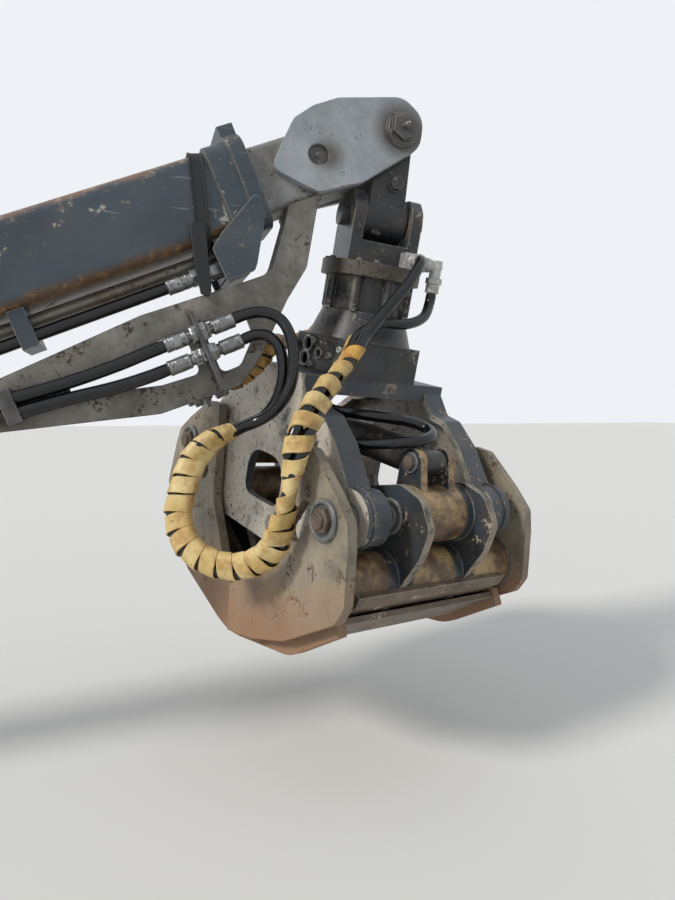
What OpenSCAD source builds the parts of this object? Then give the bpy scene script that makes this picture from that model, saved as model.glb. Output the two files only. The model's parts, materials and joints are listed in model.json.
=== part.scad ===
// Outer boom (jib) of a forwarder's loader crane, with its telescopic extension, hose carrier,
// swing link, rotator and timber grapple. The origin is the jib's hinge bore, +X points along the
// reach, +Z is up. The boom is held raised and the grapple hangs closed.

/* [Boom] */
// Angle of the boom above the horizontal
boom_tilt = 23; // [10:1:30]
// Hinge bore to tip pin along the boom, extension drawn in
jib_reach = 2600; // [2400:50:3000]
// Hinge bore below the boom's centre line
axis_up = 60; // [50:5:80]
// Height of the jib beam
beam_h = 160; // [150:5:180]
// Width of the jib beam
beam_w = 140; // [130:5:160]
// Wall of the jib beam and of the inner boom
beam_wall = 8; // [6:1:10]
// Gap between the inner boom and the beam on each side
slide_gap = 6; // [5:1:8]
// Length of the collar at the beam's mouth
collar_len = 75; // [60:5:90]
// Distance from the collar's mouth to the tip pin
mouth_to_tip = 325; // [315:5:340]
// Radius of the hinge bore at the heel
hinge_bore_r = 35; // [25:1:40]
// Width of the heel's hinge boss
hinge_boss_w = 220; // [200:10:260]
// Radius of the bores for the lift link
link_bore_r = 25; // [20:1:30]

/* [Link and rotator] */
// Radius of the tip pin and of the cross pin
pin_r = 24; // [20:1:28]
// Tip pin to cross pin
link_drop = 168; // [160:1:190]
// Cross pin to the jaw pivots
cross_to_jaws = 556; // [550:2:600]
// Lean of the link about the tip pin
link_lean = 7; // [4:1:9]
// Lean of the rotator about the cross pin
cross_lean = 10; // [6:1:14]
// Turn of the grapple about the rotator
grapple_turn = 22; // [15:1:30]
// Radius of the rotator's flange ring
flange_r = 106; // [100:1:115]

/* [Grapple] */
// Half the distance between the two jaw pivots
pivot_q = 285; // [280:1:295]
// Outer face of the right jaw's side plates from the middle
jaw_half = 246; // [242:1:270]
// Thickness of the jaws' side plates
plate_t = 20; // [16:1:22]
// Radius of the hub and of the crown's bosses
hub_r = 54; // [50:1:56]
// Radius of the jaw pins
jaw_pin_r = 28; // [24:1:30]
// Radius of the lower stiffener tube
stiffener_r = 48; // [44:1:50]
// Thickness of the jaws' blades
blade_t = 12; // [10:1:14]

/* [Hidden] */
$fn = 64;

// Places along the boom, measured from the hinge bore
mouth_s = jib_reach - mouth_to_tip;
collar_s = mouth_s - collar_len;
beam_start = 180;
inner_start = 700;
inner_end = jib_reach - 130;
inner_h = beam_h - 2 * beam_wall - 2 * slide_gap;
inner_w = beam_w - 2 * beam_wall - 2 * slide_gap;
corner_r = 20;
sleeve_t = 8;
band_t = 14;
band_len = 30;
saddle_h = 36;
guide_t = 8;
guide_low = -163;
run_fit = 0.05;

// Colours as the object shows them
slate = "#46525c";
grey = "#9aa1a3";
dark = "#2c3033";
beige = "#8f8876";
steel = "#c3c7c9";
brown = "#6b5140";
black = "#161616";
yellow = "#cf9f3a";

// Frames: along the boom's centre line, at the tip pin, at the cross pin, at the jaw pivots
module on_axis() {
  rotate([0, -boom_tilt, 0])
    translate([0, 0, axis_up])
      children();
}

module at_tip() {
  translate([tip_x, 0, tip_z])
    children();
}

tip_x = jib_reach * cos(boom_tilt) - axis_up * sin(boom_tilt);
tip_z = jib_reach * sin(boom_tilt) + axis_up * cos(boom_tilt);

module on_link() {
  at_tip()
    rotate([0, link_lean, 0])
      children();
}

module on_head() {
  on_link()
    translate([0, 0, -link_drop])
      rotate([cross_lean, 0, 0])
        children();
}

module on_rotor() {
  on_head()
    rotate([0, 0, grapple_turn])
      children();
}

// The grapple's own frame: x along the jaw pins, q towards the right jaw, z up from the pivots
module on_grapple() {
  on_rotor()
    translate([0, 0, -cross_to_jaws])
      children();
}

// Helpers
function unit(v) = v / norm(v);

// Points of one rounded corner: p is the corner with its radius in p[2], a and b its neighbours
function corner(a, p, b, n) =
  let (
    o = [p[0], p[1]],
    u = unit([a[0], a[1]] - o),
    w = unit([b[0], b[1]] - o),
    half = acos(max(-1, min(1, u * w))) / 2,
    far = p[2] / tan(half),
    c = o + unit(u + w) * p[2] / sin(half),
    from = o + u * far - c,
    to = o + w * far - c,
    a0 = atan2(from[1], from[0]),
    turn = atan2(from[0] * to[1] - from[1] * to[0], from * to)
  )
  p[2] == 0 ? [o] : [for (i = [0:n]) c + p[2] * [cos(a0 + turn * i / n), sin(a0 + turn * i / n)]];

// A closed outline from corners given as [x, y, radius]
function rounded(pts, n = 5) =
  let (m = len(pts))
  [for (i = [0:m - 1]) each corner(pts[(i + m - 1) % m], pts[i], pts[(i + 1) % m], n)];

// An open path from corners given as [x, y, radius]
function path_of(pts, n = 5) =
  let (m = len(pts))
  [for (i = [0:m - 1])
    each (i == 0 || i == m - 1 ? [[pts[i][0], pts[i][1]]]
      : corner(pts[i - 1], pts[i], pts[i + 1], n))];

// The path moved sideways by t, to its right
function beside(path, t) =
  let (m = len(path))
  [for (i = [0:m - 1])
    let (d = unit(path[min(i + 1, m - 1)] - path[max(i - 1, 0)]))
    path[i] + t * [d[1], -d[0]]];

function reversed(list) = [for (i = [len(list) - 1:-1:0]) list[i]];

module band(path, t) {
  polygon(concat(path, reversed(beside(path, t))));
}

module flip_q(on) {
  if (on)
    mirror([0, 1, 0])
      children();
  else
    children();
}

// Extrudes a (q, z) outline along the jaw pins, about the plane x = mid
module side_slab(mid, t) {
  translate([mid, 0, 0])
    rotate([90, 0, -90])
      linear_extrude(t, center = true)
        children();
}

// A round bar along the jaw pins at (q, z), from x0 to x1
module bar_x(q, z, r, x0, x1) {
  translate([x0, -q, z])
    rotate([0, 90, 0])
      cylinder(r = r, h = x1 - x0);
}

// A round bar across the boom at (x, z), over y0 to y1
module bar_y(x, z, r, y0, y1) {
  translate([x, y1, z])
    rotate([90, 0, 0])
      cylinder(r = r, h = y1 - y0);
}

// Extrudes an (x, z) outline across the boom, over y0 to y1
module slab_y(y0, y1) {
  translate([0, y1, 0])
    rotate([90, 0, 0])
      linear_extrude(y1 - y0)
        children();
}

// Extrudes a (y, h) section along the boom, from s0 to s1
module along(s0, s1) {
  translate([s0, 0, 0])
    rotate([90, 0, 90])
      linear_extrude(s1 - s0)
        children();
}

// A round bar along the boom at (y, h), from s0 to s1
module bar_s(y, h, r, s0, s1, sides = $fn) {
  translate([s0, y, h])
    rotate([0, 90, 0])
      cylinder(r = r, h = s1 - s0, $fn = sides);
}

// A box section w wide and h high with rounded corners
module section(w, h, r) {
  polygon(rounded([[-w / 2, -h / 2, r], [w / 2, -h / 2, r], [w / 2, h / 2, r], [-w / 2, h / 2, r]]));
}

module box(x0, x1, y0, y1, z0, z1) {
  translate([x0, y0, z0])
    cube([x1 - x0, y1 - y0, z1 - z0]);
}

// A tube swept along points: each ring stands across the mean of its two stretches
function tangent(p, i) =
  let (m = len(p))
  unit(unit(p[min(i + 1, m - 1)] - p[max(i, 0) == m - 1 ? m - 2 : i])
    + unit(p[max(i, 1)] - p[max(i - 1, 0)]));

function carried(up, t) = unit(up - (up * t) * t);

function frames(p, i, up) =
  let (t = tangent(p, i), n = carried(up, t))
  i == len(p) - 1 ? [[t, n]] : concat([[t, n]], frames(p, i + 1, n));

module sweep(p, r, sides = 10) {
  f = frames(p, 0, abs(tangent(p, 0)[2]) > 0.9 ? [1, 0, 0] : [0, 0, 1]);
  m = len(p);
  verts = [for (i = [0:m - 1], k = [0:sides - 1])
    p[i] + r * (cos(360 * k / sides) * f[i][1] + sin(360 * k / sides) * cross(f[i][0], f[i][1]))];
  walls = [for (i = [0:m - 2], k = [0:sides - 1])
    let (a = i * sides + k, b = i * sides + (k + 1) % sides)
    each [[a, b, b + sides], [a, b + sides, a + sides]]];
  first = [for (k = [sides - 1:-1:0]) k];
  last = [for (k = [0:sides - 1]) (m - 1) * sides + k];
  polyhedron(verts, [for (w = concat([first, last], walls)) reversed(w)]);
}

// Jib: beam, collar, heel and what is fixed to them
module jib_beam() {
  color(slate)
    on_axis()
      difference() {
        along(beam_start, mouth_s)
          section(beam_w, beam_h, corner_r);
        along(beam_start - 1, mouth_s + 1)
          section(beam_w - 2 * beam_wall, beam_h - 2 * beam_wall, corner_r - beam_wall);
      }
}

// The collar is a sleeve with a thicker band at the mouth and a saddle on top
module jib_collar() {
  saddle_s = mouth_s - 12;
  color(slate)
    on_axis()
      difference() {
        union() {
          along(collar_s, mouth_s)
            section(beam_w + 2 * sleeve_t, beam_h + 2 * sleeve_t, corner_r + sleeve_t);
          along(mouth_s - band_len, mouth_s)
            section(beam_w + 2 * band_t, beam_h + 2 * band_t, corner_r + band_t);
          box(saddle_s - 20, saddle_s + 12, -beam_w / 2 + 10, beam_w / 2 - 10,
            beam_h / 2, beam_h / 2 + saddle_h);
        }
        along(collar_s - 1, mouth_s + 1)
          section(beam_w, beam_h, corner_r);
      }
}

// A folded U under the collar, outside the sleeve, that guides the hose carrier
module carrier_guide() {
  inside = beam_w / 2 + sleeve_t;
  side = rounded([[-455, guide_low, 8], [-458, -98, 8], [-429, -76, 8], [-345, -30, 6],
    [-336, -36, 6], [-338, -72, 20], [-389, -152, 10], [-398, guide_low, 8]]);
  color(slate)
    on_axis()
      difference() {
        translate([jib_reach, 0, 0]) {
          for (y = [-inside - guide_t, inside])
            slab_y(y, y + guide_t)
              polygon(side);
          box(-447, -406, -inside, inside, guide_low, guide_low + guide_t);
        }
        along(mouth_s - band_len, mouth_s)
          section(beam_w + 2 * band_t, beam_h + 2 * band_t, corner_r + band_t);
      }
}

heel_t = 20;
heel_len = 420;
link_lug = [-70, 190];
boss_wall = 30;

module jib_heel() {
  cheeks = rounded([[-75, -135, 70], [90, -135, 70], [heel_len, -60, 10], [heel_len, 60, 10],
    [120, 110, 40], [-10, 245, 55], [-130, 245, 55], [-130, 150, 50], [-75, 0, 60]], 6);
  w = beam_w / 2;
  color(slate)
    on_axis()
      difference() {
        for (y = [-w - heel_t, w])
          slab_y(y, y + heel_t)
            polygon(cheeks);
        bar_y(0, -axis_up, hinge_bore_r + boss_wall, -hinge_boss_w, hinge_boss_w);
        bar_y(link_lug[0], link_lug[1], link_bore_r, -hinge_boss_w, hinge_boss_w);
      }
}

// The hinge boss between and through the cheeks, and the plate that closes the beam
module heel_boss() {
  color(slate)
    on_axis() {
      difference() {
        bar_y(0, -axis_up, hinge_bore_r + boss_wall, -hinge_boss_w / 2, hinge_boss_w / 2);
        bar_y(0, -axis_up, hinge_bore_r, -hinge_boss_w, hinge_boss_w);
      }
      box(beam_start - heel_t, beam_start, -beam_w / 2, beam_w / 2, -beam_h / 2, beam_h / 2);
    }
}

// Two steel tubes and a hose run under the beam to a block behind the guide
tube_r = 13;
tube_h = -beam_h / 2 - 23;
tube_y = [-10, 30];
hose_at = [-40, -132];
hose_r = 12;
clamp_s = [620, 1200, 1780];
clamp_len = 30;
clamp_low = -152;
block_s = mouth_s - 122;
tubes_from = 470;

module tube_run(s0, s1, grow = 0) {
  for (y = tube_y)
    bar_s(y, tube_h, tube_r + grow, s0, s1);
}

module tube_clamps() {
  color(slate)
    on_axis()
      difference() {
        union() {
          for (s = clamp_s)
            box(s - clamp_len / 2, s + clamp_len / 2, hose_at[0] - 20, tube_y[1] + 22,
              clamp_low, -beam_h / 2);
          box(block_s, block_s + 40, hose_at[0] - 24, tube_y[1] + 22, clamp_low, -beam_h / 2);
        }
        tube_run(tubes_from, block_s);
        bar_s(hose_at[0], hose_at[1], hose_r, tubes_from, clamp_s[2] + clamp_len);
      }
}

module steel_tubes() {
  color(steel)
    on_axis()
      tube_run(tubes_from, block_s);
}

// Couplings at the ends of the tubes and of the hose
module tube_ends() {
  color(steel)
    on_axis() {
      tube_run(tubes_from - 45, tubes_from, 5);
      bar_s(hose_at[0], hose_at[1], 17, tubes_from - 45, tubes_from);
      bar_s(hose_at[0], hose_at[1], 15, block_s - 75, block_s - 25);
      bar_s(hose_at[0], hose_at[1], 18, block_s - 25, block_s, 6);
    }
}

module jib_hose() {
  color(black)
    on_axis()
      bar_s(hose_at[0], hose_at[1], hose_r, tubes_from, block_s - 75);
}

// A rubber strap round the beam, hanging plumb with its tail down
strap_t = 5;
strap_w = 27;
strap_lean = 17;
strap_s = jib_reach - 440;

module strap() {
  color(black)
    on_axis()
      difference() {
        translate([strap_s, 0, 0])
          rotate([0, strap_lean, 0])
            cube([strap_w, beam_w + 2 * strap_t, (beam_h + 2 * strap_t) / cos(strap_lean)],
              center = true);
        along(beam_start, mouth_s)
          section(beam_w, beam_h, corner_r);
      }
}

module strap_tail() {
  tail = rounded([[-478, -40, 4], [-450, -48, 4], [-489, -168, 4], [-499, -180, 3], [-511, -164, 4]], 3);
  out = beam_w / 2 + strap_t;
  color(black)
    on_axis()
      translate([jib_reach, 0, 0])
        slab_y(-out - strap_t, -out)
          polygon(tail);
}

// Slide pads inside the mouth, a running fit on the inner boom
pad_len = 120;
pad_play = 0.5;

module wear_pads() {
  color(black)
    on_axis()
      difference() {
        along(mouth_s - pad_len, mouth_s)
          section(beam_w - 2 * beam_wall, beam_h - 2 * beam_wall, corner_r - beam_wall);
        along(mouth_s - pad_len - 1, mouth_s + 1)
          section(inner_w + 2 * pad_play, inner_h + 2 * pad_play, inner_r + pad_play);
      }
}

// Extension: inner boom, tip plates, pins, hose carrier and its hoses
nose_w = inner_w / 2;
tip_t = 18;
inner_r = 12;
nose_pin_at = [-188, 6];
nose_pin_r = 21;

module inner_boom() {
  color(grey)
    on_axis()
      difference() {
        along(inner_start, inner_end)
          section(inner_w, inner_h, inner_r);
        along(inner_start - 1, inner_end - 40)
          section(inner_w - 2 * beam_wall, inner_h - 2 * beam_wall, inner_r - beam_wall);
      }
}

// Outline of a tip plate about the tip pin
tip_outline = rounded([[-288, 10, 20], [-250, 48, 20], [-208, 86, 20], [-160, 98, 30],
  [-105, 98, 40], [30, 62, 45], [58, 10, 45], [25, -45, 45], [-120, -72, 40], [-217, -62, 20]]);

module tip_plates() {
  color(grey)
    on_axis()
      translate([jib_reach, 0, 0])
        difference() {
          for (y = [-nose_w - tip_t, nose_w])
            slab_y(y, y + tip_t)
              polygon(tip_outline);
          bar_y(0, 0, pin_r, -200, 200);
          bar_y(nose_pin_at[0], nose_pin_at[1], nose_pin_r, -200, 200);
        }
}

module nose_pin() {
  sunk = 7;
  color(dark)
    on_axis()
      translate([jib_reach + nose_pin_at[0], 0, nose_pin_at[1]])
        for (side = [-1, 1])
          scale([1, side, 1]) {
            bar_y(0, 0, nose_pin_r, -nose_w - tip_t + sunk, -nose_w);
            bar_y(0, 0, 5, -nose_w - tip_t, -nose_w - tip_t + sunk);
          }
}

module tip_pin() {
  out = nose_w + tip_t;
  color(dark)
    on_axis()
      translate([jib_reach, 0, 0]) {
        bar_y(0, 0, pin_r, -out - 18, out + 18);
        for (side = [-1, 1])
          scale([1, side, 1]) {
            bar_y(0, 0, 36, -out - 5, -out);
            bar_y(0, 0, 31, -out - 10, -out - 5);
            translate([0, -out - 10, 0])
              rotate([90, 0, 0])
                cylinder(r = 28, h = 14, $fn = 6);
            bar_y(0, 0, 6, -out - 32, -out - 18);
          }
      }
}

// Hose carrier: a web in the boom's plane with a flange along its inner and upper edge
carrier_y = -70;
carrier_t = 10;
carrier_tail = -1240;
flange_w = 52;
flange_t = 8;
carrier_edge = [[-280, -66, 0], [-368, -176, 45], [-480, -172, 60], [-626, -166, 60],
  [-890, -184, 60], [carrier_tail, -180, 0]];

module hose_carrier() {
  outer = concat(path_of(carrier_edge), path_of([[carrier_tail, -258, 0], [-930, -268, 60],
    [-663, -346, 60], [-506, -354, 40], [-450, -318, 20], [-359, -236, 30], [-296, -190, 40],
    [-215, -66, 0]]));
  front_window = rounded([[-445, -222, 12], [-530, -218, 12], [-530, -318, 12], [-490, -318, 20],
    [-447, -276, 20]]);
  rear_window = rounded([[-566, -218, 12], [-790, -228, 8], [-790, -258, 8], [-640, -298, 30],
    [-566, -304, 12]]);
  color(grey)
    on_axis()
      translate([jib_reach, 0, 0]) {
        slab_y(carrier_y, carrier_y + carrier_t)
          difference() {
            polygon(outer);
            polygon(front_window);
            polygon(rear_window);
          }
        slab_y(carrier_y + carrier_t, carrier_y + flange_w)
          band(path_of(carrier_edge), -flange_t);
        box(-276, -215, carrier_y, nose_w, -inner_h / 2 - 10, -inner_h / 2);
      }
}

// A small plate across the carrier that the hoses' unions pass through
union_y = carrier_y - 25;
union_h = [-235, -276];
bulkhead_s = -545;
far_union = [-574, 20, -345];

module bulkhead() {
  color(grey)
    on_axis()
      translate([jib_reach, 0, 0])
        difference() {
          union() {
            box(bulkhead_s - 4, bulkhead_s + 4, carrier_y - 50, carrier_y, -345, -195);
            box(far_union[0] - 4, far_union[0] + 4, carrier_y + carrier_t, far_union[1] + 24,
              far_union[2] - 24, far_union[2] + 27);
          }
          for (h = union_h)
            bar_s(union_y, h, 12, bulkhead_s - 10, bulkhead_s + 10);
          bar_s(far_union[1], far_union[2], 12, far_union[0] - 10, far_union[0] + 10);
        }
}

module bulkhead_fittings() {
  color(steel)
    on_axis() {
      translate([jib_reach, 0, 0])
        for (i = [0, 1]) {
          h = union_h[i];
          bar_s(union_y, h, 12, bulkhead_s - 65 - 10 * i, bulkhead_s + 70);
          for (s = [bulkhead_s - 24, bulkhead_s + 4])
            bar_s(union_y, h, 18, s, s + 20, 6);
          bar_s(union_y, h, 15, bulkhead_s - 65 - 10 * i, bulkhead_s - 30);
          bar_s(union_y, h, 15, bulkhead_s + 30, bulkhead_s + 70);
        }
      translate([jib_reach, 0, 0]) {
        bar_s(far_union[1], far_union[2], 12, far_union[0] - 30, far_union[0] + 54);
        bar_s(far_union[1], far_union[2], 19, far_union[0] + 28, far_union[0] + 54);
        for (s = [far_union[0] - 24, far_union[0] + 4])
          bar_s(far_union[1], far_union[2], 18, s, s + 20, 6);
      }
    }
}

// Routes of the hoses along the carrier, from the unions back to the tail, from the tip pin
carrier_routes = [
  [[-610, -95, -235], [-640, -95, -235], [-700, -90, -236], [-800, -83, -232], [-960, -83, -215],
    [-1120, -83, -200], [carrier_tail, -83, -200]],
  [[-620, -95, -276], [-650, -95, -276], [-710, -90, -272], [-810, -83, -258], [-960, -83, -243],
    [-1120, -83, -230], [carrier_tail, -83, -230]]
];
line_r = 12;

module carrier_hoses() {
  color(black)
    on_axis()
      translate([jib_reach, 0, 0])
        for (route = carrier_routes)
          sweep(route, line_r, 10);
}

module hose_clips() {
  color(dark)
    on_axis()
      translate([jib_reach, 0, 0])
        for (at = [[-890, -223.5, -248.5], [-1180, -201, -231]])
          difference() {
            box(at[0] - 12, at[0] + 12, carrier_y - 27, carrier_y, at[2] - 18, at[1] + 18);
            for (route = carrier_routes)
              sweep(route, line_r, 10);
          }
}

module tail_couplings() {
  color(steel)
    on_axis()
      translate([jib_reach, 0, 0])
        for (route = carrier_routes) {
          last = route[len(route) - 1];
          bar_s(last[1], last[2], 14, carrier_tail - 50, carrier_tail);
          bar_s(last[1], last[2], 13.5, carrier_tail - 66, carrier_tail - 50, 6);
        }
}

// Points of the hanging hoses from the tip pin, in the row's own directions
loop_points = [[-345, -80, -610], [-380, -85, -625], [-415, -80, -660], [-435, -85, -710],
  [-445, -85, -765], [-430, -100, -815], [-390, -120, -845], [-340, -145, -850],
  [-297, -188, -820], [-278, -213, -764], [-266, -219, -692], [-252, -225, -623],
  [-208, -190, -555], [-145, -150, -485], [-115, -130, -445]];
guard_r = 29;

module loop_guard() {
  color(yellow)
    at_tip()
      sweep(loop_points, guard_r);
}

// The bare hoses: two from the unions into the guard, two out of it to the elbows
bare_routes = [
  [[-345, -95, -401], [-322, -95, -391], [-292, -98, -386], [-262, -110, -398],
    [-245, -125, -430], [-240, -135, -480], [-250, -135, -535], [-276, -115, -574],
    [-302, -94, -592], [-325, -89, -601], [-343, -92, -609]],
  [[-329, -95, -439], [-308, -95, -430], [-282, -98, -430], [-262, -108, -452],
    [-256, -115, -500], [-265, -105, -548], [-286, -78, -582], [-308, -66, -594],
    [-328, -65, -602], [-346, -68, -610]],
  [[-109, -141, -443], [-98, -134, -428], [-60, -136, -380], [-5, -136, -316], [25, -114, -273],
    [25, -101, -271]],
  [[-121, -121, -444], [-110, -114, -429], [-60, -106, -400], [0, -98, -398], [50, -72, -378],
    [72, -52, -346], [75, -55, -326]]
];

module loop_hoses() {
  color(black)
    at_tip()
      for (route = bare_routes)
        sweep(route, 11, 8);
}

// The second bundle of hoses, from its union on the far side round behind the rotator
far_points = [[-343.5, 20, -520.5], [-316, 20, -509], [-282, 15, -482], [-254, 15, -446],
  [-236, 45, -427], [-215, 110, -420], [-170, 180, -410], [-110, 222, -385], [-72, 232, -340],
  [-52, 228, -285], [-44, 213, -245], [-39, 186, -221], [-37, 155, -218], [-37, 128.5, -223]];
far_r = 17;

module far_bundle() {
  color(brown)
    at_tip()
      sweep(far_points, far_r);
}

// Swing link: an eye along Y on the tip pin, an eye along X on the cross pin
eye_r = 46;
eye_half = nose_w - 6;
cross_half = 45;

module link() {
  color(dark)
    on_link()
      difference() {
        union() {
          bar_y(0, 0, eye_r, -eye_half, eye_half);
          translate([-cross_half, 0, -link_drop])
            rotate([0, 90, 0])
              cylinder(r = eye_r, h = 2 * cross_half);
          box(-38, 38, -42, 42, -link_drop + 20, -20);
          translate([12, -42, -100])
            rotate([90, 0, 0])
              cylinder(r = 15, h = 14, $fn = 6);
        }
        bar_y(0, 0, pin_r + run_fit, -200, 200);
        translate([-200, 0, -link_drop])
          rotate([0, 90, 0])
            cylinder(r = pin_r + run_fit, h = 400);
      }
}

// Rotator head: cross pin, clevis, flange, housing and elbows
clevis_half = 74;
clevis_gap = cross_half + 5;
clevis_deep = 62;
clevis_foot = 44;
flange_top = -96;
housing_top = -126;
housing_low = -196;
shaft_r = 45;

module cross_pin() {
  color(dark)
    on_head()
      translate([-clevis_half - 16, 0, 0])
        rotate([0, 90, 0])
          cylinder(r = pin_r, h = 2 * clevis_half + 32);
}

module rotator_head() {
  ear = rounded([[-clevis_deep, flange_top, 0], [clevis_deep, flange_top, 0], [clevis_deep, 20, 36],
    [30, 50, 30], [-30, 50, 30], [-clevis_deep, 20, 36]]);
  color(dark)
    on_head()
      difference() {
        union() {
          for (side = [-1, 1])
            side_slab(side * (clevis_half + clevis_gap) / 2, clevis_half - clevis_gap)
              polygon(ear);
          box(-clevis_half, clevis_half, -clevis_deep, clevis_deep, flange_top,
            flange_top + clevis_foot);
        }
        translate([-200, 0, 0])
          rotate([0, 90, 0])
            cylinder(r = pin_r, h = 400);
      }
}

module rotator_flange() {
  color(dark)
    on_head()
      translate([0, 0, housing_top])
        cylinder(r = flange_r, h = flange_top - housing_top);
}

module housing_solid() {
  translate([0, 0, housing_low])
    cylinder(r = 82, h = housing_top - housing_low);
  for (a = [12:45:327])
    rotate([0, 0, a])
      translate([88, 0, housing_low + 4])
        cylinder(r = 10, h = housing_top - housing_low - 4);
}

module rotator_housing() {
  color(dark)
    on_head()
      difference() {
        housing_solid();
        translate([0, 0, housing_low - 1])
          cylinder(r = shaft_r + run_fit, h = 56);
      }
}

// Port blocks on the flange: the near one has an outlet in front and one turned down
ports_at = [58, -80, -79];
far_port_x = -10;

module rotator_elbows() {
  color(steel)
    on_head() {
      box(ports_at[0] - 20, ports_at[0] + 20, ports_at[1] - 16, -clevis_deep,
        flange_top, ports_at[2] + 16);
      bar_y(ports_at[0], ports_at[2], 13, ports_at[1] - 36, ports_at[1] - 16);
      translate([ports_at[0] + 20, ports_at[1], ports_at[2]])
        rotate([0, 90, 0])
          cylinder(r = 12, h = 36);
      translate([ports_at[0] + 56, ports_at[1], ports_at[2] - 55])
        cylinder(r = 12, h = 67);
      box(far_port_x - 20, far_port_x + 20, clevis_deep, 16 - ports_at[1],
        flange_top, ports_at[2] + 16);
      bar_y(far_port_x, ports_at[2], 13, 16 - ports_at[1], 36 - ports_at[1]);
    }
}

// Rotor: foot, manifold and crown, turning under the housing
foot_top = housing_low - 1;
foot_low = foot_top - 60;
manifold_low = foot_low - 75;
manifold_half = 95;
roof_top = cross_to_jaws + manifold_low;

module rotator_foot() {
  color(dark)
    on_rotor() {
      translate([0, 0, foot_low])
        cylinder(r1 = 112, r2 = 90, h = foot_top - foot_low);
      translate([0, 0, foot_top])
        cylinder(r = shaft_r, h = 50);
    }
}

module port_manifold() {
  mid = (manifold_low + foot_low) / 2;
  color(dark)
    on_rotor()
      difference() {
        box(-manifold_half, manifold_half, -manifold_half, manifold_half, manifold_low, foot_low);
        for (port = [[50, 15, 14], [55, -18, 14], [8, -2, 9]])
          translate([-manifold_half - 1, port[0], mid + port[1]])
            rotate([0, 90, 0])
              cylinder(r = port[2], h = 26);
      }
}

leg_out = 192;
leg_t = 16;
leg_low = -130;
flange_in = 140;
flange_strip = 14;
roof_t = 36;
roof_half = 90;
boss_in = 138;

module crown() {
  slope = [[roof_half - 15, roof_top, 12], [122, 166, 14], [160, 160, 14], [214, 118, 40],
    [pivot_q - 14, hub_r - 6, 0]];
  right = concat(slope, [[pivot_q + 20, 20, 10], [pivot_q, -hub_r + 8, 10], [232, -62, 30],
    [150, leg_low, 40]]);
  leg = rounded(concat(right, [for (c = reversed(right)) [-c[0], c[1], c[2]]]));
  hole = rounded([[-66, -56, 26], [66, -56, 26], [66, 44, 44], [-66, 44, 44]]);
  edge = path_of(slope);
  color(slate)
    on_grapple()
      difference() {
        union() {
          for (side = [-1, 1]) {
            side_slab(side * (leg_out - leg_t / 2), leg_t)
              difference() {
                polygon(leg);
                polygon(hole);
              }
            for (on = [false, true])
              flip_q(on)
                side_slab(side * (leg_out + flange_in) / 2, leg_out - flange_in)
                  band(edge, flange_strip);
          }
          box(-leg_out, leg_out, -roof_half, roof_half, roof_top - roof_t, roof_top);
          for (q = [-pivot_q, pivot_q]) {
            bar_x(q, 0, hub_r - 2, -leg_out, -boss_in);
            bar_x(q, 0, hub_r - 2, boss_in, leg_out);
          }
        }
        for (q = [-pivot_q, pivot_q])
          bar_x(q, 0, jaw_pin_r + run_fit, -300, 300);
      }
}

// A hose loops out of the roof and back to the near leg
crown_hose_points = [[-120, -70, 187.7], [-120, -70, 178], [-115, -95, 165], [-85, -160, 160],
  [-35, -215, 160], [5, -240, 156], [0, -255, 149], [-50, -250, 140], [-95, -205, 120],
  [-140, -155, 108], [-162, -145, 105], [-175.7, -145, 105]];

module crown_hose() {
  color(black)
    on_grapple()
      sweep(crown_hose_points, 11);
}

// Jaws: the right one as built, the left one mirrored and narrower
rib_in = 78;
rib_t = 16;
stiffener_at = [pivot_q + 5, -115];
ear = [pivot_q - 19, 96];
ear_r = 28;
ear_in = 30;
ear_t = 16;
jaw_step = 26;

function plate_out(left) = left ? jaw_half - jaw_step : jaw_half;

jaw_top = [[160, 36, 50], [174, 110, 12], [222, 108, 14], [302, 53, 20], [346, 16, 25], [357, -25, 30],
  [372, -122, 22]];
jaw_inner = [[78, -184, 60], [142, -96, 60]];
right_outline = concat(jaw_top, [[356, -156, 18], [227, -249, 90], [120, -296, 90],
  [36, -318, 3], [20, -226, 6]], jaw_inner);
left_outline = concat(jaw_top, [[352, -165, 30], [285, -246, 40], [214, -290, 60], [4, -345, 200],
  [-221, -286, 120], [-342, -190, 3], [-322, -158, 3], [-205, -238, 100], [0, -284, 160]],
  jaw_inner);

module jaw_plates(left) {
  out = plate_out(left);
  slot = [217, -26];
  color(beige)
    on_grapple()
      flip_q(left)
        difference() {
          for (side = [-1, 1])
            side_slab(side * (out - plate_t / 2), plate_t)
              difference() {
                polygon(rounded(left ? left_outline : right_outline));
                translate(slot)
                  rotate(60) {
                    translate([-26, 0])
                      circle(r = 20);
                    translate([26, 0])
                      circle(r = 20);
                    square([52, 40], center = true);
                  }
              }
          bar_x(pivot_q, 0, jaw_pin_r, -400, 400);
        }
}

rib_outline = rounded([[206, 34, 20], [296, 64, 40], [352, 52, 35], [386, 6, 35], [376, -48, 60],
  [326, -146, 80], [308, -176, 8], [227, -226, 60], [120, -272, 60], [96, -279, 4], [180, -196, 60],
  [216, -110, 60]]);

right_blade_edge = [[350, -120, 0], [342, -142, 20], [296, -182, 60], [227, -230, 100],
  [120, -276, 100], [32, -300, 0]];
left_blade_edge = [[352, -130, 0], [336, -164, 30], [278, -232, 60], [214, -272, 80],
  [4, -327, 200], [-221, -268, 120], [-330, -177, 0]];

// A jaw's blade seen along the tubes: its outer edge and its thickness
module blade_section(left) {
  band(path_of(left ? left_blade_edge : right_blade_edge), blade_t);
}

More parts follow.
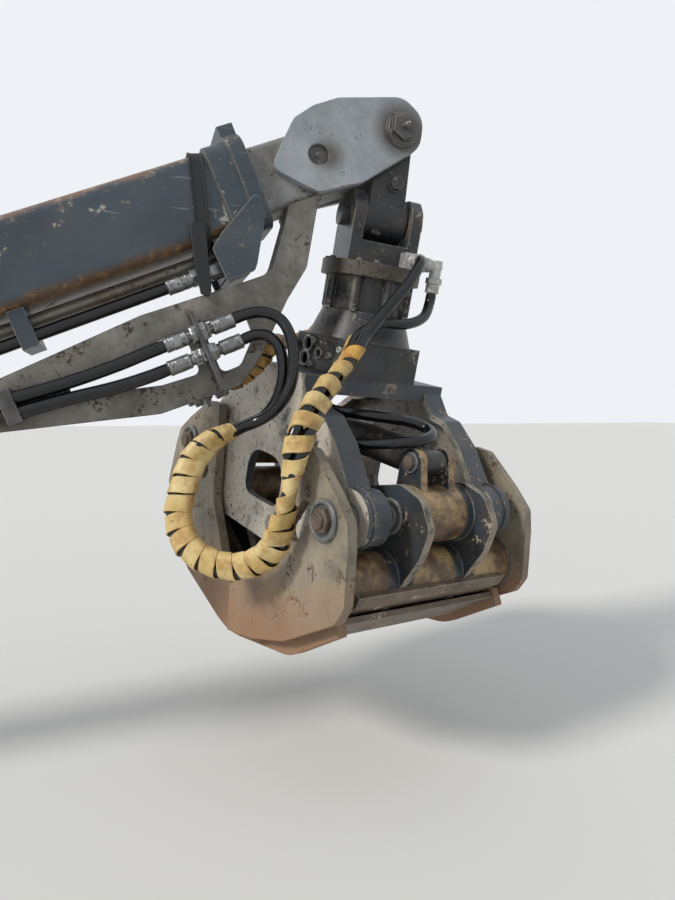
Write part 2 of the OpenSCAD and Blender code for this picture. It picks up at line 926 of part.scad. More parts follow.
module jaw_ribs(left) {
  out = plate_out(left) - plate_t;
  color(slate)
    on_grapple()
      flip_q(left)
        difference() {
          union() {
            for (side = [-1, 1]) {
              side_slab(side * (rib_in + rib_t / 2), rib_t)
                difference() {
                  polygon(rib_outline);
                  blade_section(left);
                }
              side_slab(side * (ear_in + ear_t / 2), ear_t) {
                translate(ear)
                  circle(r = ear_r);
                polygon([[ear[0] - ear_r, ear[1]], [ear[0] - ear_r, 0], [ear[0] + ear_r + 25, 0],
                  [ear[0] + ear_r, ear[1]]]);
              }
            }
            bar_x(pivot_q, 0, hub_r, -rib_in, rib_in);
            bar_x(stiffener_at[0], stiffener_at[1], stiffener_r, -out, out);
          }
          bar_x(pivot_q, 0, jaw_pin_r, -300, 300);
          bar_x(ear[0], ear[1], ear_pin_r, -300, 300);
        }
}

blade_gap = 6;

module jaw_blade(left) {
  half = plate_out(left) - plate_t - (left ? 0 : jaw_step + blade_gap);
  color(brown)
    on_grapple()
      flip_q(left)
        difference() {
          side_slab(0, 2 * half)
            blade_section(left);
          bar_x(stiffener_at[0], stiffener_at[1], stiffener_r, -400, 400);
        }
}

module jaw_pins(left) {
  out = plate_out(left);
  color(dark)
    on_grapple()
      flip_q(left) {
        for (side = [-1, 1])
          scale([side, 1, 1]) {
            bar_x(pivot_q, 0, jaw_pin_r, 60, out);
            bar_x(pivot_q, 0, 30, rib_in + rib_t, rib_in + rib_t + 6);
            bar_x(pivot_q, 0, 22, rib_in + rib_t + 6, rib_in + rib_t + 12);
            bar_x(pivot_q, 0, 40, out, out + 8);
            translate([out + 8, -pivot_q, 0])
              rotate([0, 90, 0])
                cylinder(r = 30, h = 18, $fn = 6);
            bar_x(ear[0], ear[1], ear_pin_r, left ? ear_in : 0, ear_in + ear_t + 4);
          }
      }
}

// Grapple cylinder: barrel on the right jaw's ears, rod towards the left jaw's
eye_tube_r = 24;
eye_tube_half = ear_in - 5;
ear_pin_r = 14;
barrel_r = 34;
barrel_from = 36;
barrel_bore = 45;
barrel_mouth = 275;
rod_from = 243;
rod_r = 20;

module cylinder_barrel() {
  color(dark)
    on_grapple()
      difference() {
        union() {
          bar_x(ear[0], ear[1], eye_tube_r, -eye_tube_half, eye_tube_half);
          translate([0, -ear[0], ear[1]])
            rotate([-90, 0, 0])
              cylinder(r = eye_tube_r - 1, h = barrel_from + 1);
          translate([0, barrel_from - ear[0], ear[1]])
            rotate([-90, 0, 0])
              cylinder(r = barrel_r, h = barrel_mouth - barrel_from);
        }
        translate([0, barrel_bore - ear[0], ear[1]])
          rotate([-90, 0, 0])
            cylinder(r = rod_r + run_fit, h = barrel_mouth);
        bar_x(ear[0], ear[1], ear_pin_r + run_fit, -300, 300);
      }
}

module cylinder_rod() {
  color(steel)
    on_grapple()
      difference() {
        union() {
          bar_x(-ear[0], ear[1], eye_tube_r, -eye_tube_half, eye_tube_half);
          translate([0, rod_from - ear[0], ear[1]])
            rotate([-90, 0, 0])
              cylinder(r = rod_r, h = 2 * ear[0] - rod_from - ear_pin_r - 2);
        }
        bar_x(-ear[0], ear[1], ear_pin_r + run_fit, -300, 300);
      }
}

jib_beam();
jib_collar();
carrier_guide();
jib_heel();
heel_boss();
tube_clamps();
steel_tubes();
tube_ends();
jib_hose();
strap();
strap_tail();
wear_pads();
inner_boom();
tip_plates();
nose_pin();
tip_pin();
hose_carrier();
bulkhead();
bulkhead_fittings();
carrier_hoses();
hose_clips();
tail_couplings();
loop_guard();
loop_hoses();
far_bundle();
link();
cross_pin();
rotator_head();
rotator_flange();
rotator_housing();
rotator_elbows();
rotator_foot();
port_manifold();
crown();
crown_hose();
jaw_plates(false);  // right_plates
jaw_ribs(false);  // right_ribs
jaw_blade(false);  // right_blade
jaw_pins(false);  // right_pins
jaw_plates(true);  // left_plates
jaw_ribs(true);  // left_ribs
jaw_blade(true);  // left_blade
jaw_pins(true);  // left_pins
cylinder_barrel();
cylinder_rod();
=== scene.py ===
import json
import math

import bmesh
import bpy
import numpy as np
from bpy.props import FloatProperty, PointerProperty
from mathutils import Matrix, Vector


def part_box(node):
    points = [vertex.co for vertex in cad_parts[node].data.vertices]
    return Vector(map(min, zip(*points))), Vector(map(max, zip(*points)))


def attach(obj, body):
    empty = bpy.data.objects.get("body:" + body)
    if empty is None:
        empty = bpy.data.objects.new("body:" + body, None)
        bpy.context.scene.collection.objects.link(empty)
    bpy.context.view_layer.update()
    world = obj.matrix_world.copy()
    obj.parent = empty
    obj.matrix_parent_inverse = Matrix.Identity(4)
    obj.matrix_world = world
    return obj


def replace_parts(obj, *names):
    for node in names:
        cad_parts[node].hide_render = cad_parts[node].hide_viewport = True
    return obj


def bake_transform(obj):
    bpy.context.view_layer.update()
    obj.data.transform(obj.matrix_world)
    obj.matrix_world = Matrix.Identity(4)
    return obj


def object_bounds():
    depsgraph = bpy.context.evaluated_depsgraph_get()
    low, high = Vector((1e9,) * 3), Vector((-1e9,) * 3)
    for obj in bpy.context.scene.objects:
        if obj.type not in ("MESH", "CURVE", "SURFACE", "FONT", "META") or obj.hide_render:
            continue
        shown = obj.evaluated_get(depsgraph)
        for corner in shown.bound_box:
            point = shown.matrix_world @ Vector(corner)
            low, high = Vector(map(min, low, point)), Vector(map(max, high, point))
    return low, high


bl_info = {
    "name": "Forwarder jib and timber grapple",
    "version": (1, 0, 0),
    "blender": (4, 5, 0),
    "location": "View3D > Sidebar > Grapple",
    "description": "Dresses a forwarder crane's jib, rotator and timber grapple",
    "category": "Object",
}

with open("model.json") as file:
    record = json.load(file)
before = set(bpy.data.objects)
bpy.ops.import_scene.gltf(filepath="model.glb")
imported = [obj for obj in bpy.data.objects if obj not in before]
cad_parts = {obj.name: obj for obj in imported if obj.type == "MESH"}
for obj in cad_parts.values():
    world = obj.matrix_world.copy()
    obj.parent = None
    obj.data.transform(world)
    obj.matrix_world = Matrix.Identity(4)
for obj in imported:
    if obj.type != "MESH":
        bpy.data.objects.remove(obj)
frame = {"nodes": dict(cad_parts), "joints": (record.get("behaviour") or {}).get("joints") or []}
CAD_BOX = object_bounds()

MM = 0.001
JOINTS = {j["name"]: j for j in frame["joints"]}


# Places: frames of the real pieces, taken from the joints
def axes(origin, x, z):
    """A place from its origin, its x axis and about where its z axis points."""
    x = Vector(x).normalized()
    y = Vector(z).cross(x).normalized()
    turn = Matrix((x, y, x.cross(y))).transposed().to_4x4()
    return Matrix.Translation(Vector(origin)) @ turn


UP = Vector((0, 0, 1))
TIP_PIN = Vector(JOINTS["link_swing"]["pos_m"])
CROSS_PIN = Vector(JOINTS["head_swing"]["pos_m"])
RIGHT_PIVOT = Vector(JOINTS["right_jaw_open"]["pos_m"])
LEFT_PIVOT = Vector(JOINTS["left_jaw_open"]["pos_m"])
ROTOR_UP = Vector(JOINTS["rotor_turn"]["axis"])
BOOM = axes(TIP_PIN, JOINTS["extension_slide"]["axis"], UP)
TIP = Matrix.Translation(TIP_PIN)
HEAD = axes(CROSS_PIN, JOINTS["head_swing"]["axis"], ROTOR_UP)
ROTOR = axes(CROSS_PIN, JOINTS["left_jaw_open"]["axis"], ROTOR_UP)
GRAPPLE = axes((RIGHT_PIVOT + LEFT_PIVOT) / 2, JOINTS["left_jaw_open"]["axis"], ROTOR_UP)

# Sizes of the frame's pieces that the added pieces sit on, in millimetres
BEAM_W, BEAM_H, CORNER_R = 140, 160, 20
MOUTH_S, COLLAR_S, BAND_LEN, SLEEVE_T = -325, -400, 30, 8
NOSE_W, TIP_T = 56, 18
PIVOT_Q, HUB_R = 285, 54
JAWS = (("right", -1, 246), ("left", 1, 220))  # each jaw, its side and where its plates end
PLATE_T = 20
RIB_IN, RIB_T = 78, 16
STIFFENER, STIFFENER_R = (290, -115), 48
LEG_OUT, LEG_T = 192, 16
FLANGE_TOP, HOUSING_LOW = -96, -196
EAR, EAR_OUT, BOSS_IN = (266, 96), 46, 138
ELBOW_AT, ELBOW_LOW = (58, -80, -79), -134
PORT_FACE, PORTS = -95, ((50, -279.5, 14), (55, -312.5, 14), (8, -296.5, 9))
PLUGS, PORT_NIPPLE = ((30, -270), (31, -322), (-30, -296), (-62, -280), (-62, -312)), (-10, -272)
UNION_Y, UNION_H, BULKHEAD_S = -95, (-235, -276), -545
FAR_UNION = (-574, 20, -345)
FLANGE_BOLT_R, TIE_BOLT_R = 95, 88

# Routes of the hoses in millimetres, as in the part's source; the crown's is rounder here
GUARD_ROUTE = [(-345, -80, -610), (-380, -85, -625), (-415, -80, -660), (-435, -85, -710),
               (-445, -85, -765), (-430, -100, -815), (-390, -120, -845), (-340, -145, -850),
               (-297, -188, -820), (-278, -213, -764), (-266, -219, -692), (-252, -225, -623),
               (-208, -190, -555), (-145, -150, -485), (-115, -130, -445)]
UNION_ROUTES = [
    [(-345, -95, -401), (-322, -95, -391), (-292, -98, -386), (-262, -110, -398),
     (-245, -125, -430), (-240, -135, -480), (-250, -135, -535), (-276, -115, -574),
     (-302, -94, -592), (-325, -89, -601), (-343, -92, -609)],
    [(-329, -95, -439), (-308, -95, -430), (-282, -98, -430), (-262, -108, -452),
     (-256, -115, -500), (-265, -105, -548), (-286, -78, -582), (-308, -66, -594),
     (-328, -65, -602), (-346, -68, -610)]]
HEAD_ROUTES = [
    [(-109, -141, -443), (-98, -134, -428), (-60, -136, -380), (-5, -136, -316),
     (25, -114, -273), (25, -101, -271)],
    [(-121, -121, -444), (-110, -114, -429), (-60, -106, -400), (0, -98, -398), (50, -72, -378),
     (72, -52, -346), (75, -55, -326)]]
FAR_ROUTE = [(-343.5, 20, -520.5), (-316, 20, -509), (-282, 15, -482), (-254, 15, -446),
             (-236, 45, -427), (-215, 110, -420), (-170, 180, -410), (-110, 222, -385),
             (-72, 232, -340), (-52, 228, -285), (-44, 213, -245), (-39, 186, -221),
             (-37, 155, -218), (-37, 128.5, -223)]
CARRIER_ROUTES = [
    [(-610, -95, -235), (-640, -95, -235), (-700, -90, -236), (-800, -83, -232),
     (-960, -83, -215), (-1120, -83, -200), (-1240, -83, -200)],
    [(-620, -95, -276), (-650, -95, -276), (-710, -90, -272), (-810, -83, -258),
     (-960, -83, -243), (-1120, -83, -230), (-1240, -83, -230)]]
CROWN_ROUTE = [(-120, -70, 187.7), (-120, -70, 176), (-117, -84, 160), (-92, -130, 160),
               (-50, -178, 163), (-8, -205, 162), (14, -232, 156), (2, -260, 148),
               (-34, -268, 139), (-75, -240, 126), (-112, -196, 113), (-142, -160, 106),
               (-160, -146, 105), (-175.7, -145, 105)]
JIB_HOSE = [(-2130, -40, -132), (-1700, -40, -132), (-1200, -40, -132), (-700, -40, -132),
            (-522, -40, -132)]

# The hanging loop: its centre, its plane as seen square on from where the photograph was taken,
# where its bodies part, and how the guard's flat side turns: degrees at shares of its length
LOOP_CENTRE, LOOP_NORMAL = (-362, -145, -735), (-0.292, -0.956, 0.0)
LOOP_PARTS = ((-340, -145, -850), (-145, -150, -485), (10, -130, -300))
FAR_PARTS = ((-254, 15, -446), (-110, 222, -385), (-40, 200, -240))
GUARD_START, GUARD_END = (-0.119, 0.992, -0.051), (-0.515, 0.858, -0.04)
GUARD_TURNS = ((0.10, 0), (0.50, 0), (0.62, 90), (0.74, 180), (1.0, 180))
HOSE_GAP = 12  # from the guard's middle to each hose's

# Radii of the hoses, then the strips: thickness, width and pitch, the far guard's inner radius,
# and how far the near guard's round ends stand from its middle
HOSE_R, LOOP_HOSE_R, CROWN_HOSE_R = 12, 10.8, 11
STRIP_T, FAR_STRIP_T, FAR_STRIP_W, FAR_PITCH = 2.4, 1.6, 23.0, 25.0
FAR_GUARD_R, GUARD_SPREAD = 13.9, 11.5

# The camera: from the tip pin in metres, its turn in degrees, and the lens's shift
CAMERA_FROM_TIP, CAMERA_TURN, CAMERA_SHIFT = (-0.529, -1.354, -0.57), -17, (0.00074, -0.05926)
FLOOR_HALF = 30  # metres

# The strap's place on the boom, its lean in degrees, its thickness and its tail's outline
STRAP_S, STRAP_LEAN, STRAP_T = -440, 17, 5
STRAP_TAIL = [(-478, -40), (-450, -48), (-463, -90), (-478, -136), (-489, -170), (-499, -179),
              (-510, -168), (-503, -130), (-492, -86)]


# Materials
# Kinds of node that the finishes share. Map Range has its value at socket 0, what it comes from
# at 1 and 2 and what it goes to at 3 and 4. A colour Mix has its share at 0, colours at 6 and 7.
NOISE, RANGE = "ShaderNodeTexNoise", "ShaderNodeMapRange"
MATH, VECTOR = "ShaderNodeMath", "ShaderNodeVectorMath"
MIX, BUMP, COORDS = "ShaderNodeMix", "ShaderNodeBump", "ShaderNodeTexCoord"

# Noise scales: 1000 / scale is the size of a feature in millimetres
FILM, PEEL, SCRATCH = 17, 700, (9, 150, 150)  # 59 mm, 1.4 mm, and 110 mm long by 7 mm
OIL, DUST, PEBBLE = 60, 22, 900  # 17 mm, 45 mm, 1.1 mm
BLEACH, SMEAR, GRIME, NICK = 14, 30, 11, 190  # 71 mm, 33 mm, 91 mm, 5 mm


def linear(colour):
    """An sRGB hex colour as linear RGBA."""
    parts = [int(colour[i:i + 2], 16) / 255 for i in (1, 3, 5)]
    return [c / 12.92 if c <= 0.04045 else ((c + 0.055) / 1.055) ** 2.4 for c in parts] + [1]


def feed(tree, node, inputs):
    """Sets a node's sockets to values, or links them to the nodes or sockets given."""
    for name, value in inputs.items():
        if isinstance(value, bpy.types.Node):
            value = next(out for out in value.outputs if out.enabled)
        if isinstance(value, bpy.types.NodeSocket):
            tree.links.new(value, node.inputs[name])
        else:
            node.inputs[name].default_value = value
    return node


def add(tree, kind, inputs=None, **settings):
    """Adds a node: settings are its properties, inputs what feeds its sockets."""
    node = tree.nodes.new(kind)
    for name, value in settings.items():
        setattr(node, name, value)
    return feed(tree, node, inputs or {})


def material(name):
    """A new material with its tree and its shader."""
    mat = bpy.data.materials.new(name)
    mat.use_nodes = True
    return mat, mat.node_tree, mat.node_tree.nodes["Principled BSDF"]


def weathered(name, paint, faded, under, rust, dirt, clouds=160, chip=14, chips=0.60, edges=0.5,
              scratches=0.0, dirt_share=0.5, rough=0.5, metal=0.0, grain=0.25, turn=0.0,
              marks=None):
    """Sprayed enamel on welded steel: faded in clouds, chipped to what lies under it, worn bright
    along edges, with rust round the chips. Sizes of clouds and chips are in millimetres, turn is
    the scratches' angle, and marks gives the layers that only some places have."""
    mat, tree, shader = material(name)
    coords = add(tree, COORDS)
    where = coords.outputs["Object"]
    along = add(tree, "ShaderNodeMapping", {"Vector": where, "Scale": SCRATCH,
                                            "Rotation": (0, math.radians(turn), 0)})
    cloud, patch, flake, fine, line, film = (
        add(tree, NOISE, {"Vector": v, "Scale": scale, "Detail": detail, "Roughness": fineness})
        for v, scale, detail, fineness in (
            (where, 1000 / clouds, 6, 0.6), (where, 1000 / (chip * 6), 3, 0.5),
            (where, 1000 / chip, 5, 0.62), (where, PEEL, 3, 0.5), (along, 1, 2, 0.5),
            (where, FILM, 9, 0.7)))
    round_normal = add(tree, "ShaderNodeBevel", {"Radius": 0.003}, samples=6)
    flat_normal = add(tree, "ShaderNodeNewGeometry").outputs["Normal"]
    turned = add(tree, VECTOR, {0: round_normal, 1: flat_normal}, operation="DOT_PRODUCT")
    worn = add(tree, RANGE, {0: turned, 1: 0.995, 2: 0.9, 4: edges})
    chipped = add(tree, MATH, {0: flake, 1: patch})
    half = add(tree, MATH, {0: chipped, 1: 0.5}, operation="MULTIPLY")
    loose = add(tree, MATH, {0: worn, 1: 0.22, 2: half}, operation="MULTIPLY_ADD")
    bare = add(tree, RANGE, {0: loose, 1: chips, 2: chips + 0.018})
    halo = add(tree, RANGE, {0: loose, 1: chips - 0.035, 2: chips})
    scratch = add(tree, RANGE, {0: line, 1: 0.70, 2: 0.73, 4: scratches})
    shown = add(tree, MATH, {0: bare, 1: scratch}, operation="MAXIMUM")
    fade = add(tree, RANGE, {0: cloud, 1: 0.38, 2: 0.64})
    soiled = add(tree, RANGE, {0: film, 1: 0.44, 2: 0.66, 4: dirt_share})
    layers = [(fade, faded), (soiled, dirt), (halo, rust), (shown, under)]
    if marks:
        layers += marks(tree, where, coords.outputs["Normal"], film, flake)
    colour = linear(paint)
    for share, over in layers:
        colour = add(tree, MIX, {0: share, 6: colour, 7: linear(over)}, data_type="RGBA")
    dull = add(tree, RANGE, {0: halo, 3: rough, 4: min(rough + 0.25, 1)})
    level = add(tree, MATH, {0: shown, 1: -0.7, 2: fine}, operation="MULTIPLY_ADD")
    bump = add(tree, BUMP, {"Strength": grain, "Distance": 0.0008, "Height": level,
                            "Normal": round_normal})
    feed(tree, shader, {"Base Color": colour, "Roughness": dull, "Normal": bump,
                        "Metallic": metal})
    return mat


def beam_rust(tree, where, normal, film, flake):
    """Rust along the beam's folded corners, orange on top and brown below, with grey scuffs."""
    off = add(tree, VECTOR, {0: where, 1: TIP_PIN}, operation="SUBTRACT")
    height = add(tree, VECTOR, {0: off, 1: BOOM.col[2].xyz}, operation="DOT_PRODUCT")
    aside = add(tree, VECTOR, {0: off, 1: BOOM.col[1].xyz}, operation="DOT_PRODUCT")
    aside = add(tree, MATH, {0: aside}, operation="ABSOLUTE")
    ragged = add(tree, MATH, {0: film, 1: 0.030, 2: height}, operation="MULTIPLY_ADD")
    corner = add(tree, MATH, {0: film, 1: 0.060, 2: aside}, operation="MULTIPLY_ADD")
    corner = add(tree, RANGE, {0: corner, 1: 0.066, 2: 0.084, 3: 0.12})
    top = add(tree, RANGE, {0: ragged, 1: 0.080, 2: 0.092, 4: 0.9})
    top = add(tree, MATH, {0: top, 1: corner}, operation="MULTIPLY")
    rubbed = add(tree, RANGE, {0: ragged, 1: 0.068, 2: 0.080})
    for share in (add(tree, RANGE, {0: flake, 1: 0.53, 2: 0.62, 4: 0.6}), corner):
        rubbed = add(tree, MATH, {0: rubbed, 1: share}, operation="MULTIPLY")
    low = add(tree, MATH, {0: film, 1: -0.036, 2: height}, operation="MULTIPLY_ADD")
    low = add(tree, RANGE, {0: low, 1: -0.078, 2: -0.090, 4: 0.95})
    spots = add(tree, RANGE, {0: flake, 1: 0.52, 2: 0.62, 4: 0.8})
    spots = add(tree, MATH, {0: low, 1: spots}, operation="MULTIPLY")
    return [(top, "#7b5a44"), (rubbed, "#8d8578"), (low, "#5b4430"), (spots, "#8a6a45")]


def pin_grime(tree, where, normal, film, flake):
    """Grease and dust round the tip pin and the nose pin."""
    layers = []
    for place, size in (((0, 0, 0), 0.062), ((-170, 0, 0), 0.038)):
        off = add(tree, VECTOR, {0: where, 1: at(BOOM, place)}, operation="SUBTRACT")
        flat = add(tree, VECTOR, {0: off, 1: (1, 0, 1)}, operation="MULTIPLY")
        far = add(tree, VECTOR, {0: flat}, operation="LENGTH")
        far = add(tree, MATH, {0: film, 1: 0.03, 2: far}, operation="MULTIPLY_ADD")
        grease = add(tree, RANGE, {0: far, 1: size + 0.02, 2: size - 0.008, 4: 0.85})
        layers.append((grease, "#4a443d"))
    return layers


def casting_sunlit_side_and_dust(tree, where, normal, film, flake):
    """Painted sunlight: the sides facing the key light turned pale grey where a thin film allows,
    and a brown film of dust elsewhere.
    """
    # Painted sunlight: the pale grey below goes on the sides that face the key light
    facing = add(tree, VECTOR, {0: normal, 1: (-0.94, -0.30, 0.1)}, operation="DOT_PRODUCT")
    facing = add(tree, RANGE, {0: facing, 1: 0.62, 2: 0.9})
    thin = add(tree, RANGE, {0: film, 1: 0.42, 2: 0.60, 4: 0.7})
    rubbed = add(tree, MATH, {0: facing, 1: thin}, operation="MULTIPLY")
    dusty = add(tree, RANGE, {0: flake, 1: 0.60, 2: 0.66, 4: 0.5})
    return [(rubbed, "#7d776c"), (dusty, "#655a4c")]


def crown_painted_sunlit_side(tree, where, normal, film, flake):
    """Painted sunlight: the side facing the key light is made pale, with black flakes of paint
    left on it.
    """
    # Painted sunlight: the pale colour goes on the crown's side that faces the key light
    pale = add(tree, VECTOR, {0: normal, 1: -GRAPPLE.col[0].xyz}, operation="DOT_PRODUCT")
    pale = add(tree, RANGE, {0: pale, 1: 0.75, 2: 0.92})
    for share in (add(tree, RANGE, {0: film, 1: 0.66, 2: 0.54}),
                  add(tree, RANGE, {0: flake, 1: 0.64, 2: 0.60})):
        pale = add(tree, MATH, {0: pale, 1: share}, operation="MULTIPLY")
    return [(pale, "#bab3a6")]


def log_wear(tree, where, normal, film, flake):
    """Tubes and rims rubbed golden brown by logs; paint is left beside the ribs and on faces."""
    off = add(tree, VECTOR, {0: where, 1: GRAPPLE.translation}, operation="SUBTRACT")
    aside = add(tree, VECTOR, {0: off, 1: GRAPPLE.col[0].xyz}, operation="DOT_PRODUCT")
    aside = add(tree, MATH, {0: aside}, operation="ABSOLUTE")
    facing = add(tree, VECTOR, {0: normal, 1: GRAPPLE.col[0].xyz}, operation="DOT_PRODUCT")
    facing = add(tree, MATH, {0: facing}, operation="ABSOLUTE")
    round_side = add(tree, RANGE, {0: facing, 1: 0.5, 2: 0.3})
    uneven = add(tree, MATH, {0: film, 1: 0.020, 2: aside}, operation="MULTIPLY_ADD")
    inner = add(tree, RANGE, {0: uneven, 1: 0.070, 2: 0.064})
    outer = add(tree, RANGE, {0: uneven, 1: 0.122, 2: 0.130})
    band = add(tree, MATH, {0: inner, 1: outer}, operation="MAXIMUM")
    for share in (add(tree, RANGE, {0: flake, 1: 0.70, 2: 0.66}), round_side):
        band = add(tree, MATH, {0: band, 1: share}, operation="MULTIPLY")
    bright = add(tree, RANGE, {0: film, 1: 0.46, 2: 0.60, 4: 0.9})
    bright = add(tree, MATH, {0: band, 1: bright}, operation="MULTIPLY")
    sooty = add(tree, RANGE, {0: film, 1: 0.44, 2: 0.34, 4: 0.8})
    sooty = add(tree, MATH, {0: band, 1: sooty}, operation="MULTIPLY")
    rim = add(tree, RANGE, {0: film, 1: 0.60, 2: 0.50, 4: 0.9})
    for share in (add(tree, RANGE, {0: aside, 1: 0.0775, 2: 0.079}),
                  add(tree, RANGE, {0: aside, 1: 0.095, 2: 0.0935}), round_side):
        rim = add(tree, MATH, {0: rim, 1: share}, operation="MULTIPLY")
    return [(band, "#66503b"), (bright, "#ab9268"), (sooty, "#2b2520"), (rim, "#8f8371")]


def plate_rust(tree, where, normal, film, flake):
    """Bark dust over the plate, and rust on its lower third."""
    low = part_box("left_plates")[0].z
    height = add(tree, "ShaderNodeSeparateXYZ", {0: where}).outputs["Z"]
    height = add(tree, MATH, {0: film, 1: -0.25, 2: height}, operation="MULTIPLY_ADD")
    rusty = add(tree, RANGE, {0: height, 1: low + 0.09, 2: low - 0.05, 4: 0.8})
    return [(rusty, "#8b6546")]


def chromed(name, bright, oily):
    """Plated and polished, with an oil film."""
    mat, tree, shader = material(name)
    where = add(tree, COORDS).outputs["Object"]
    film = add(tree, NOISE, {"Vector": where, "Scale": OIL, "Detail": 5})
    dull = add(tree, RANGE, {0: film, 1: 0.4, 2: 0.7, 3: 0.14, 4: 0.4})
    colour = add(tree, MIX, {0: film, 6: linear(bright), 7: linear(oily)}, data_type="RGBA")
    feed(tree, shader, {"Base Color": colour, "Roughness": dull, "Metallic": 1})
    return mat


def rubber(name, cover, dust, rough, dust_share=0.4):
    """Moulded rubber: a dark cover with dust in patches and a slight pebble."""
    mat, tree, shader = material(name)
    where = add(tree, COORDS).outputs["Object"]
    patch = add(tree, NOISE, {"Vector": where, "Scale": DUST, "Detail": 7, "Roughness": 0.65})
    share = add(tree, RANGE, {0: patch, 1: 0.5, 2: 0.72, 4: dust_share})
    colour = add(tree, MIX, {0: share, 6: linear(cover), 7: linear(dust)}, data_type="RGBA")
    dull = add(tree, RANGE, {0: share, 3: rough, 4: rough + 0.4})
    pebble = add(tree, NOISE, {"Vector": where, "Scale": PEBBLE})
    bump = add(tree, BUMP, {"Strength": 0.15, "Distance": 0.0004, "Height": pebble})
    feed(tree, shader, {"Base Color": colour, "Roughness": dull, "Normal": bump})
    return mat


def polyethylene(name, face, pale, soil, share):
    """Polyethylene strip: sun-bleached in clouds, browned on the loop's inner side, with oily
    smears and dark nicks."""
    mat, tree, shader = material(name)
    where = add(tree, COORDS).outputs["Object"]
    cloud, smear, grime, nick = (
        add(tree, NOISE, {"Vector": where, "Scale": scale, "Detail": detail,
                          "Roughness": fineness})
        for scale, detail, fineness in ((BLEACH, 4, 0.5), (SMEAR, 8, 0.7), (GRIME, 9, 0.75),
                                        (NICK, 3, 0.5)))
    fade = add(tree, RANGE, {0: cloud, 1: 0.4, 2: 0.62})
    oily = add(tree, RANGE, {0: smear, 1: 0.47, 2: 0.60, 4: share})
    inside = add(tree, VECTOR, {0: where, 1: at(TIP, LOOP_CENTRE)}, operation="DISTANCE")
    inside = add(tree, MATH, {0: smear, 1: -0.06, 2: inside}, operation="MULTIPLY_ADD")
    inside = add(tree, RANGE, {0: inside, 1: 0.060, 2: 0.038, 4: 0.85})
    oily = add(tree, MATH, {0: oily, 1: inside}, operation="MAXIMUM")
    black = add(tree, RANGE, {0: grime, 1: 0.56, 2: 0.66, 4: 0.55})
    nicked = add(tree, RANGE, {0: nick, 1: 0.68, 2: 0.71, 4: 0.8})
    colour = linear(face)
    for part, over in ((fade, pale), (oily, soil), (black, "#4b3a24"), (nicked, "#2a2018")):
        colour = add(tree, MIX, {0: part, 6: colour, 7: linear(over)}, data_type="RGBA")
    dull = add(tree, RANGE, {0: smear, 1: 0.3, 2: 0.7, 3: 0.38, 4: 0.6})
    bump = add(tree, BUMP, {"Strength": 0.25, "Distance": 0.0006, "Height": smear})
    feed(tree, shader, {"Base Color": colour, "Roughness": dull, "Normal": bump})
    return mat


def plain(name, colour, rough):
    """One even coat."""
    mat, tree, shader = material(name)
    feed(tree, shader, {"Base Color": linear(colour), "Roughness": rough})
    return mat


